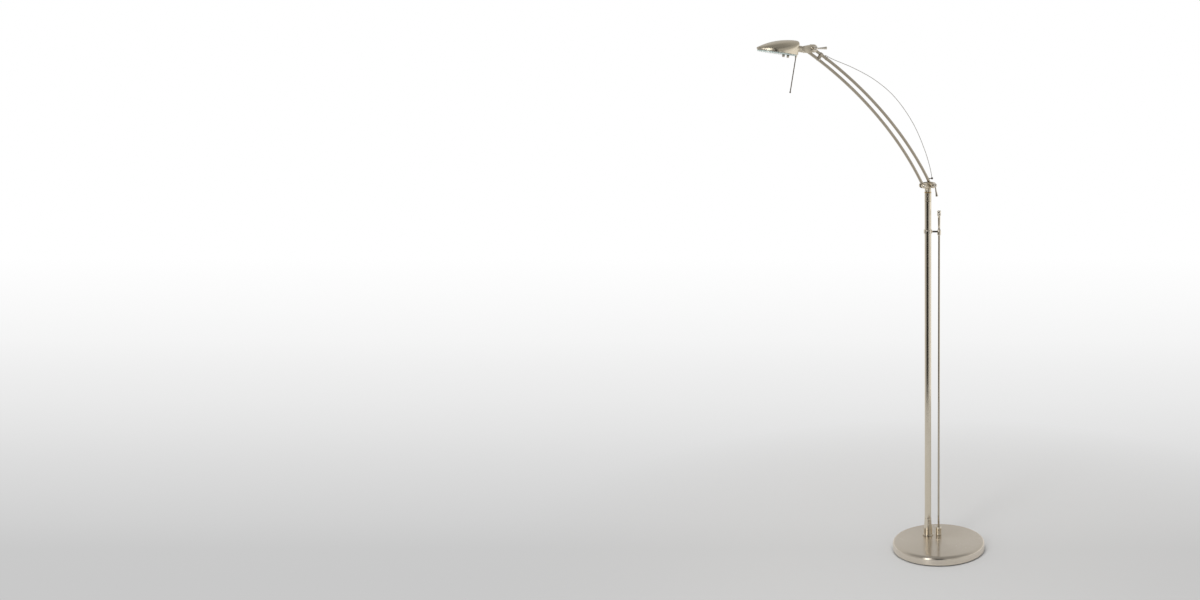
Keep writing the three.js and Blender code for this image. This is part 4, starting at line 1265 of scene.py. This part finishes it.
def makeWire(wires, arm):
    armLine = armPoints(arm, mainPivot, 200)
    end, _ = curveAt(armLine, wires["endShare"])
    landing = end + upZ * (arm["rodRadius"] + wires["radius"] + wires["lift"]) * mm
    points = [mainPivot + Vector((x, 0, z)) * mm for x, z in wires["route"]]
    points += [landing + Vector((x, 0, z)) * mm for x, z in wires["landing"]]
    line = splineThrough(points, 14)
    ballPlace = mainPivot + Vector((wires["ball"][0], 0, wires["ball"][1])) * mm
    line = [ballPlace + (line[0] - ballPlace) * 0.4] + line
    tail, _ = curveAt(armLine, wires["tailShare"])
    line[-1] = tail + upZ * arm["rodRadius"] * mm * 0.9
    bm = bmesh.new()
    sweep(bm, line, wires["radius"] * mm, 14)
    wire = toObject("bowWire", bm, "paleWire")
    settle(wire, "main_arm", "paleWire", "bow_wire")
    r = wires["ballRadius"]
    pairs = []
    for i in range(21):
        angle = -math.pi / 2 + math.pi * i / 20
        pairs.append((0 if i in (0, 20) else r * math.cos(angle), r * math.sin(angle)))
    ballPiece = lathe("wireBall", pairs, ballPlace, "darkWire", steps=32)
    settle(ballPiece, "main_arm", "darkWire", "wire_ball")
    foot, _ = curveAt(armLine, wires["stubShare"])
    way = (ballPlace - foot).normalized()
    reach = (ballPlace - foot).length / mm
    rod, stubTop = arm["rodRadius"], reach - r + 0.4
    stub = lathe("wireStub", [
        (0, rod - 0.6), (1.9, rod - 0.6), (1.9, rod + 0.9), (1.3, rod + 1.2), (1.3, stubTop), (0, stubTop),
    ], foot, "darkWire", way, 24)
    settle(stub, "main_arm", "darkWire", "wire_stub")
    collarPlace, collarWay = curveAt(armLine, wires["collarShare"])
    band = rounded([(rod - 0.2, -2.4), (rod + 0.7, -2.4), (rod + 0.7, 2.4), (rod - 0.2, 2.4)], 0.35)
    collar = lathe("wireCollar", band, collarPlace, "shadedRodNickel", collarWay, 40)
    settle(collar, "main_arm", "shadedRodNickel")


# neck that the head rolls on, shared by the knuckle's stub and the head's sleeve
neckSetup = {
    "radius": 8.3,
    "bore": 4.6,
    "sleeveFrom": 10.5,     # behind the head's own place
    "sleeveTo": 3,
    "joint": 0.3,
    "flangeFrom": 2.8,
}

# knuckle at the head end of the rods
knuckleSetup = {
    "radius": 10.4,
    "halfWidth": 8.6,
    "endRadius": 8.8,
    "inset": 0.3,           # the elbow's faces lie this far inside the disc's
    "stubFrom": 11,         # in front of the knee
    "slotHalf": 4.4,
    "slotBehind": 6.5,
    "slotAhead": 14,
    "slotBelow": 23,
    "slotAbove": 6.5,
    "coverRadius": 8,
    "pinLift": 0.4,
    "edge": 1.0,
}


def makeKnuckle(knuckle, neck):
    y0, y1 = kneePivot.y - knuckle["halfWidth"] * mm, kneePivot.y + knuckle["halfWidth"] * mm
    disc = solidRod("knuckleBody", knuckle["radius"], Vector((kneePivot.x, y0, kneePivot.z)),
                    Vector((kneePivot.x, y1, kneePivot.z)), 72)
    inset = knuckle["inset"] * mm
    elbowEnd = kneeFollower + Vector((3, 0, -1)) * mm
    elbow = linkPlate("elbow", kneePivot, elbowEnd, knuckle["radius"] - 0.4, knuckle["endRadius"],
                      y0 + inset, y1 - inset)
    reach = (headPlace - kneePivot).length
    stubStart = headPlace - neckAxis * (reach - knuckle["stubFrom"] * mm)
    stubEnd = headPlace - neckAxis * (neck["sleeveFrom"] + neck["joint"]) * mm
    stub = solidRod("stub", neck["radius"], stubStart, stubEnd, 72)
    combine(disc, "UNION", [elbow, stub])
    slot = solidBox(
        "slot",
        (kneeFollower.x - knuckle["slotBehind"] * mm, kneePivot.y - knuckle["slotHalf"] * mm,
         kneePivot.z - knuckle["slotBelow"] * mm),
        kneePivot + Vector((knuckle["slotAhead"], knuckle["slotHalf"], knuckle["slotAbove"])) * mm,
    )
    combine(disc, "DIFFERENCE", [slot])
    disc.name = "knuckleBlock"
    softenEdges(disc, knuckle["edge"], "satinNickel")
    settle(disc, "knuckle", "satinNickel", "knuckle")

    r = knuckle["coverRadius"]
    cover = lathe("knuckleCover", [
        (0, -0.4), (r - 0.3, -0.4), (r, 0), (r, 1.2), (r - 0.4, 1.8), (r - 1.0, 2.15), (r - 2.3, 2.2),
        (r - 2.7, 1.9), (r - 3.0, 1.5), (r - 4.0, 1.5), (r - 4.3, 2.0), (r - 4.8, 2.2), (0, 2.2),
    ], Vector((kneePivot.x, y0, kneePivot.z)), "polishedNickel", -acrossY, 72)
    settle(cover, "knuckle", "polishedNickel", "knuckle_cover")
    for name, pivot in (("kneePinEnd", kneePivot), ("kneeFollowerPinEnd", kneeFollower)):
        pinEnd(name, Vector((pivot.x, y1 - inset, pivot.z)), knuckle["pinLift"], "knuckle")


# every point of the head is in its own frame: x to the tip, y across, z up
headTurn = Matrix.Rotation(math.pi, 4, "Z") @ Matrix.Rotation(-math.asin(neckAxis.z), 4, "Y")
headFrame = Matrix.Translation(headPlace) @ headTurn

headSetup = {
    "length": 111,
    "halfWidth": 42,
    "wall": 1.4,
    # shares of the length, then shares of the half width or millimetres of height
    "plan": [
        (0, 0.46), (0.06, 0.6), (0.18, 0.8), (0.34, 0.95), (0.5, 1), (0.65, 0.9), (0.78, 0.68), (0.9, 0.38),
        (1, 0.1),
    ],
    "top": [
        (0, 19.1), (0.07, 19.5), (0.18, 18.9), (0.36, 15.9), (0.47, 13.1), (0.61, 8.2), (0.75, 2),
        (0.89, -5.6), (0.96, -9.2), (1, -11.8),
    ],
    "edge": [
        (0, 12), (0.05, 8), (0.18, -4.2), (0.34, -11.6), (0.46, -15), (0.6, -15.4), (0.72, -15.2),
        (0.84, -14.6), (1, -13.4),
    ],
    "endPower": 2.6,        # how square the rounded ends are
    "planEnds": (0.07, 0.1),        # shares of the length that round off at the rear and the tip
    "domeEnds": (0.045, 0.06),
    "acrossPower": 0.86,    # under 1 makes the dome's section squarer
    "upPower": 0.8,
    "bead": 0.75,           # radius of the bright bead along the shade's edge
    "rimInset": 1.8,
    "rimWall": 1.6,
    "glassTop": -17,
    "glassThickness": 3.6,
    "glassInset": 4,
    "glassRear": 8,
    "glassBevel": 0.35,
    "glassGap": 0.3,
    "studHole": 1.9,
    "bridgeLift": 4.3,      # from the top of the glass to the bridge
    "neckBore": 4.9,
}


def headWay(x, y, z):
    return (headFrame.to_3x3() @ Vector((x, y, z))).normalized()


# shares from 0 to 1 that crowd together at both ends
def crowded(i, count):
    return 0.5 - 0.5 * math.cos(math.pi * i / count)


def roundEnds(head, share, runs):
    power, product = head["endPower"], 1
    for fromEnd, run in zip((share, 1 - share), runs):
        t = min(fromEnd / run, 1)
        product *= max(1 - (1 - t) ** power, 0) ** (1 / power)
    return product


def planWidth(head, share):
    return head["halfWidth"] * smoothAlong(head["plan"], share) * roundEnds(head, share, head["planEnds"])


def edgeHeight(head, share):
    return smoothAlong(head["edge"], share)


def domeRise(head, share):
    rise = smoothAlong(head["top"], share) - edgeHeight(head, share)
    return rise * roundEnds(head, share, head["domeEnds"])


def domeGrid(bm, head, inset, rows, columns):
    grid = []
    for i in range(rows + 1):
        share = crowded(i, rows)
        x = inset + share * (head["length"] - 2 * inset)
        end = i in (0, rows)
        width = 0 if end else max(planWidth(head, share) - inset, 0)
        rise = 0 if end else max(domeRise(head, share) - inset, 0)
        row = []
        for j in range(columns + 1):
            angle = math.pi * j / columns
            c, s = math.cos(angle), math.sin(angle)
            y = -width * math.copysign(abs(c) ** head["acrossPower"], c)
            z = edgeHeight(head, share) + rise * max(s, 0) ** head["upPower"]
            row.append(bm.verts.new(Vector((x, y, z)) * mm))
        grid.append(row)
    return grid


def makeShade(head):
    rows, columns = 96, 64
    bm = bmesh.new()
    outer = domeGrid(bm, head, 0, rows, columns)
    inner = domeGrid(bm, head, head["wall"], rows, columns)
    for grid in (outer, inner):
        for i in range(rows):
            for j in range(columns):
                bm.faces.new((grid[i][j], grid[i + 1][j], grid[i + 1][j + 1], grid[i][j + 1]))
    for side in (0, columns):
        for i in range(rows):
            bm.faces.new((outer[i][side], outer[i + 1][side], inner[i + 1][side], inner[i][side]))
    bmesh.ops.remove_doubles(bm, verts=bm.verts, dist=1e-7)
    bmesh.ops.dissolve_degenerate(bm, edges=bm.edges, dist=1e-7)
    bmesh.ops.transform(bm, matrix=headFrame, verts=bm.verts)
    shade = toObject("shadeDome", bm, "satinNickel", 50)
    settle(shade, "head", "satinNickel", "shade")

    # bright bead along the shade's edge
    edge = []
    for side in (-1, 1):
        run = []
        for i in range(1, rows):
            share = crowded(i, rows)
            x = share * head["length"]
            y = side * (planWidth(head, share) - head["wall"] * 0.5)
            run.append(Vector((x, y, edgeHeight(head, share) - 0.05)) * mm)
        edge.append(run)
    tip = Vector((head["length"] - head["wall"] * 0.5, 0, edgeHeight(head, 1))) * mm
    rear = Vector((head["wall"] * 0.5, 0, edgeHeight(head, 0))) * mm
    loop = [rear] + edge[0] + [tip] + list(reversed(edge[1])) + [rear]
    bm = bmesh.new()
    rings = sweep(bm, [headFrame @ p for p in loop], head["bead"] * mm, 12, caps=False)
    for ring in (rings[0], rings[-1]):
        bm.faces.new(ring)
    bead = toObject("shadeBead", bm, "polishedNickel", 60)
    settle(bead, "head", "polishedNickel")


# outline of the head seen from above, drawn in by inset
def leafLoop(head, inset, steps, start=0):
    side = []
    for i in range(steps + 1):
        x = start + inset + crowded(i, steps) * (head["length"] - start - 2 * inset)
        side.append((x, max(planWidth(head, x / head["length"]) - inset, 0.4)))
    return side + [(x, -y) for x, y in reversed(side)]


def makeHousing(head):
    steps = 80
    bottom = head["glassTop"] + head["glassGap"]
    rim = head["rimInset"]
    layers = [(rim + 0.5, 0.0), (rim + 0.12, 0.18), (rim, 0.7)]
    loops = [leafLoop(head, inset, steps) for inset, _ in layers]
    inner = leafLoop(head, rim + head["rimWall"], steps)
    count = len(inner)
    bm = bmesh.new()

    def crest(x):
        return max(edgeHeight(head, min(max(x / head["length"], 0), 1)) - 0.5, bottom + 0.8)

    def ring(loop, height):
        return [bm.verts.new(Vector((x, y, height(x))) * mm) for x, y in loop]

    outerLoop = loops[-1]
    rings = [ring(loop, lambda x, lift=lift: bottom + lift) for loop, (_, lift) in zip(loops, layers)]
    tops = [crest(x) for x, _ in outerLoop]
    rings.append([bm.verts.new(Vector((x, y, z)) * mm) for (x, y), z in zip(outerLoop, tops)])
    rings.append([bm.verts.new(Vector((x, y, z)) * mm) for (x, y), z in zip(inner, tops)])
    rings.append([bm.verts.new(Vector((x, y, bottom)) * mm) for x, y in inner])
    rings.append(rings[0])
    for a, b in zip(rings, rings[1:]):
        for i in range(count):
            n = (i + 1) % count
            bm.faces.new((a[i], a[n], b[n], b[i]))
    bmesh.ops.transform(bm, matrix=headFrame, verts=bm.verts)
    housing = toObject("lowerHousing", bm, "satinNickel", 50)
    behind, ahead = (headFrame @ (Vector((x, 0, 0)) * mm) for x in (-10, 8))
    bore = solidRod("bore", head["neckBore"], behind, ahead, 48)
    combine(housing, "DIFFERENCE", [bore])
    housing.data.set_sharp_from_angle(angle=math.radians(50))
    settle(housing, "head", "satinNickel", "lower_housing")


def makeGlass(head):
    top = head["glassTop"]
    low = top - head["glassThickness"]
    steps = 72
    bm = bmesh.new()
    inset, bevel = head["glassInset"], head["glassBevel"]
    layers = [(inset + bevel, low), (inset, low + bevel), (inset, top - bevel), (inset + bevel, top)]
    rings = []
    for drawnIn, z in layers:
        loop = leafLoop(head, drawnIn, steps, head["glassRear"])
        rings.append([bm.verts.new(headFrame @ (Vector((x, y, z)) * mm)) for x, y in loop])
    count = len(rings[0])
    sideFaces = []
    for a, b in zip(rings, rings[1:]):
        for i in range(count):
            n = (i + 1) % count
            sideFaces.append(bm.faces.new((a[i], a[n], b[n], b[i])))
    bm.faces.new(rings[0])
    bm.faces.new(rings[-1])
    for face in sideFaces:
        face.material_index = 1
    glass = toObject("glassPlate", bm, "plateGlass", 30)
    glass.data.materials.append(finishes["edgeGlass"])
    holes = []
    for node in ("near_stud", "far_stud"):
        place = headFrame.inverted() @ middle(node)
        under, above = (headFrame @ Vector((place.x, place.y, z * mm)) for z in (low - 1, top + 1))
        holes.append(solidRod("hole", head["studHole"], under, above, 32))
    combine(glass, "DIFFERENCE", holes)
    glass.data.set_sharp_from_angle(angle=math.radians(30))
    settle(glass, "head", "plateGlass", "glass_plate")


# knurled nuts under the glass, on studs that come through it
nutSetup = {
    "height": {"near": 6.4, "far": 5.0},
    "radius": 3.3,
    "knurls": 24,
    "knurlDepth": 0.28,
    "bore": 1.7,
    "studRadius": 1.6,
    "threadRoot": 1.42,
    "threadPitch": 0.25,
    "threads": 20,
    "washerRadius": 4.2,
}


# turned about an upright line through x, y of the head
def headPiece(name, pairs, x, y, finish, nodes, steps):
    made = lathe(name, pairs, headFrame @ (Vector((x, y, 0)) * mm), finish, headWay(0, 0, 1), steps)
    settle(made, "head", finish, *nodes)


def knurledNut(name, place, under, height, nuts):
    r, bore = nuts["radius"], nuts["bore"]
    bm = bmesh.new()
    teeth = nuts["knurls"] * 2
    levels = [
        (bore, under, 0), (r - 0.5, under, 0), (r - 0.1, under - 0.4, 1), (r, under - 0.8, 1),
        (r, under - height + 0.9, 1), (r - 0.2, under - height + 0.5, 1), (r - 0.7, under - height, 0),
        (bore, under - height, 0),
    ]
    rings = []
    for radius, z, cut in levels:
        ring = []
        for k in range(teeth):
            turn = 2 * math.pi * k / teeth
            reach = radius - nuts["knurlDepth"] * cut * (k % 2)
            point = Vector((place.x + reach * math.cos(turn), place.y + reach * math.sin(turn), z))
            ring.append(bm.verts.new(headFrame @ (point * mm)))
        rings.append(ring)
    for a, b in zip(rings, rings[1:] + rings[:1]):
        for k in range(teeth):
            m = (k + 1) % teeth
            bm.faces.new((a[k], a[m], b[m], b[k]))
    return toObject(name, bm, "polishedNickel", 18)


def makeNuts(nuts, head):
    under = head["glassTop"] - head["glassThickness"] - head["glassGap"]
    for side, height in nuts["height"].items():
        place = headFrame.inverted() @ middle(side + "_stud") / mm
        nut = knurledNut(side + "Nut", place, under, height, nuts)
        settle(nut, "head", "polishedNickel", side + "_glass_nut")
        low, top, r = under - height + 1.2, head["glassTop"] + head["bridgeLift"], nuts["studRadius"]
        stud = [(0, low), (1.1, low), (r, low + 0.5)]
        for i in range(nuts["threads"]):
            stud.append((r if i % 2 else nuts["threadRoot"], low + 0.6 + nuts["threadPitch"] * i))
        stud += [(r, low + 6), (r, top), (0, top)]
        headPiece(side + "Stud", stud, place.x, place.y, "zincSteel", (side + "_stud",), 20)
        wide, hole = nuts["washerRadius"], head["studHole"]
        washer = rounded([
            (hole, under + 0.28), (wide, under + 0.28), (wide, under + 0.02), (hole, under + 0.02),
        ], 0.08)
        headPiece(side + "Washer", washer, place.x, place.y, "blackPlastic", (), 32)


# bulb with its filament, in a ceramic holder
bulbSetup = {
    "radius": 5.5,
    "length": 26,
    "tipTurn": 1.25,        # radians of the rounded tip
    "tipRun": (8, 1.6),     # from the end of the bulb to where the tip starts and stops
    "filamentTurns": 16,
    "filamentRadius": 0.8,
    "filamentWire": 0.13,
    "filamentFrom": 9,
    "filamentRun": 8,
    "leadWire": 0.2,
    "leadApart": 1.6,
    "holderFrom": 9.0,      # from the neck
    "holderHalf": 7,
    "holderTop": 19,
    "holderEdge": 0.9,
}


def makeLamp(lamp, head):
    start = headFrame.inverted() @ middle("halogen_bulb") / mm - Vector((lamp["length"] / 2, 0, 0))
    r, length = lamp["radius"], lamp["length"]
    tipFrom, tipTo = lamp["tipRun"]
    outer = [(0, 0), (3.4, 0), (3.7, 0.8), (3.7, 3), (r - 0.4, 5.2), (r, 6.6), (r, length - tipFrom)]
    for i in range(1, 10):
        turn = lamp["tipTurn"] * i / 9
        along = (tipFrom - tipTo) * math.sin(turn) / math.sin(lamp["tipTurn"])
        outer.append((r * math.cos(turn), length - tipFrom + along))
    outer += [(0.9, length - 0.9), (0.5, length - 0.1), (0, length)]
    bulb = lathe("bulbGlass", outer, headFrame @ (start * mm), "bulbGlass", headWay(1, 0, 0), 48)
    settle(bulb, "head", "bulbGlass", "halogen_bulb")

    bm = bmesh.new()
    coil = []
    steps = lamp["filamentTurns"] * 12
    thick, coilFrom, coilRun = lamp["filamentRadius"], lamp["filamentFrom"], lamp["filamentRun"]
    for i in range(steps + 1):
        turn = 2 * math.pi * i / 12
        x = start.x + coilFrom + coilRun * i / steps
        point = Vector((x, thick * math.cos(turn), start.z + thick * math.sin(turn)))
        coil.append(headFrame @ (point * mm))
    sweep(bm, coil, lamp["filamentWire"] * mm, 6)
    for side, end in ((-1, coilFrom), (1, coilFrom + coilRun)):
        apart = side * lamp["leadApart"]
        lead = [Vector((start.x + 1, apart, start.z)), Vector((start.x + 6, apart, start.z)),
                Vector((start.x + end, side * thick, start.z))]
        sweep(bm, [headFrame @ (p * mm) for p in lead], lamp["leadWire"] * mm, 8)
    filament = toObject("filament", bm, "zincSteel")
    settle(filament, "head", "zincSteel")

    half, floor = lamp["holderHalf"], head["glassTop"]
    holder = solidBox("holder", Vector((lamp["holderFrom"], -half, floor + head["bridgeLift"])) * mm,
                      Vector((start.x - 0.3, half, floor + lamp["holderTop"])) * mm)
    holder.data.transform(headFrame)
    holder.name = "lampHolder"
    softenEdges(holder, lamp["holderEdge"], "ceramic")
    settle(holder, "head", "ceramic", "lamp_holder")


# thin wand under the head for aiming it
wandSetup = {
    "x": 4,
    "y": 8,
    "lean": -3,
    "from": 7.7,            # the wand leaves its ferrule here
    "length": 94,
    "radius": 1.4,
}


def makeWand(wand, head):
    turn = math.radians(wand["lean"])
    way = headWay(math.sin(turn), 0, math.cos(turn))
    place = headFrame @ (Vector((wand["x"], wand["y"], head["glassTop"] + head["glassGap"])) * mm)

    def part(name, pairs, finish, node, steps):
        made = lathe(name, pairs, place, finish, way, steps)
        settle(made, "head", finish, node)

    part("wandFerrule", [
        (0, -7.6), (1.9, -7.6), (2.3, -7.2), (2.6, -6), (3.3, -3), (3.4, -2.4), (3.4, -0.9), (3.1, -0.5),
        (0, -0.4),
    ], "polishedNickel", "wand_ferrule", 32)
    r, foot, top = wand["radius"], -wand["length"], -wand["from"]
    part("aimingWand", [(0, foot), (r, foot), (r, top), (0, top)], "darkWire", "aiming_wand", 24)
    part("wandTip", [
        (0, foot - 4.4), (r * 0.7, foot - 4.2), (r + 0.5, foot - 3.6), (r + 0.9, foot - 2.2),
        (r + 0.5, foot - 0.4), (r, foot), (0, foot),
    ], "darkWire", "wand_tip", 24)


def makeNeck(neck):
    r, bore, rear, front = neck["radius"], neck["bore"], -neck["sleeveFrom"], -neck["sleeveTo"]
    way = headWay(1, 0, 0)
    sleeve = rounded([(bore, rear), (r, rear), (r, front), (bore, front)], 0.45)
    made = lathe("neckSleeve", sleeve, headPlace, "satinNickel", way, 72)
    settle(made, "head", "satinNickel", "neck_sleeve")
    low = -neck["flangeFrom"]
    flange = [
        (bore, low), (r + 0.4, low), (r + 0.9, -2.5), (r + 1.6, -1.7), (r + 2.4, -1.0), (r + 2.6, -0.5),
        (r + 2.6, 0.6), (r + 2.3, 1.1), (bore, 1.1),
    ]
    made = lathe("neckFlange", flange, headPlace, "polishedNickel", way, 72)
    settle(made, "head", "polishedNickel", "neck_flange")


# hidden pieces keep their solid and take a real finish
insideFinishes = {
    "base_weight": "castIron", "base_plate": "zincSteel", "felt_pad": "felt", "stem_nipple": "zincSteel",
    "nipple_nut": "brassMetal", "dimmer_module": "blackPlastic", "yoke_spindle": "zincSteel",
    "spindle_nut": "brassMetal", "main_pin": "zincSteel", "follower_pin": "zincSteel",
    "knee_pin": "zincSteel", "knee_follower_pin": "zincSteel", "head_bridge": "zincSteel",
    "reflector": "polishedNickel",
    "plate_screw_1": "zincSteel", "plate_screw_2": "zincSteel", "plate_screw_3": "zincSteel",
}


def finishInside(table):
    for node, finish in table.items():
        obj = frame["nodes"][node]
        obj.data.materials.clear()
        obj.data.materials.append(finishes[finish])


makeBase(baseSetup)
makeGrommet(grommetSetup)
makeStem(stemSetup)
print("base and stem made")
makeDimmer(dimmerSetup)
makeBracket(bracketSetup, dimmerSetup["bore"])
print("dimmer made")
makeYoke(yokeSetup)
makeLever("lowerLever", "lower_lever_hub", "lower_lever_handle", "lower_lever", mainPivot, 169, leverSetup)
print("yoke made")
makeRod("mainRod", "main_rod", "main_arm", mainPivot, armSetup)
makeRod("followerRod", "follower_rod", "follower_arm", followerPivot, armSetup)
makeFork(forkSetup, armSetup)
makeWire(wireSetup, armSetup)
print("arm made")
makeKnuckle(knuckleSetup, neckSetup)
makeLever("upperLever", "upper_lever_hub", "upper_lever_handle", "upper_lever", kneePivot, 88, leverSetup)
print("knuckle made")
makeShade(headSetup)
makeHousing(headSetup)
makeGlass(headSetup)
makeNuts(nutSetup, headSetup)
makeLamp(bulbSetup, headSetup)
makeWand(wandSetup, headSetup)
makeNeck(neckSetup)
finishInside(insideFinishes)
print("head made")
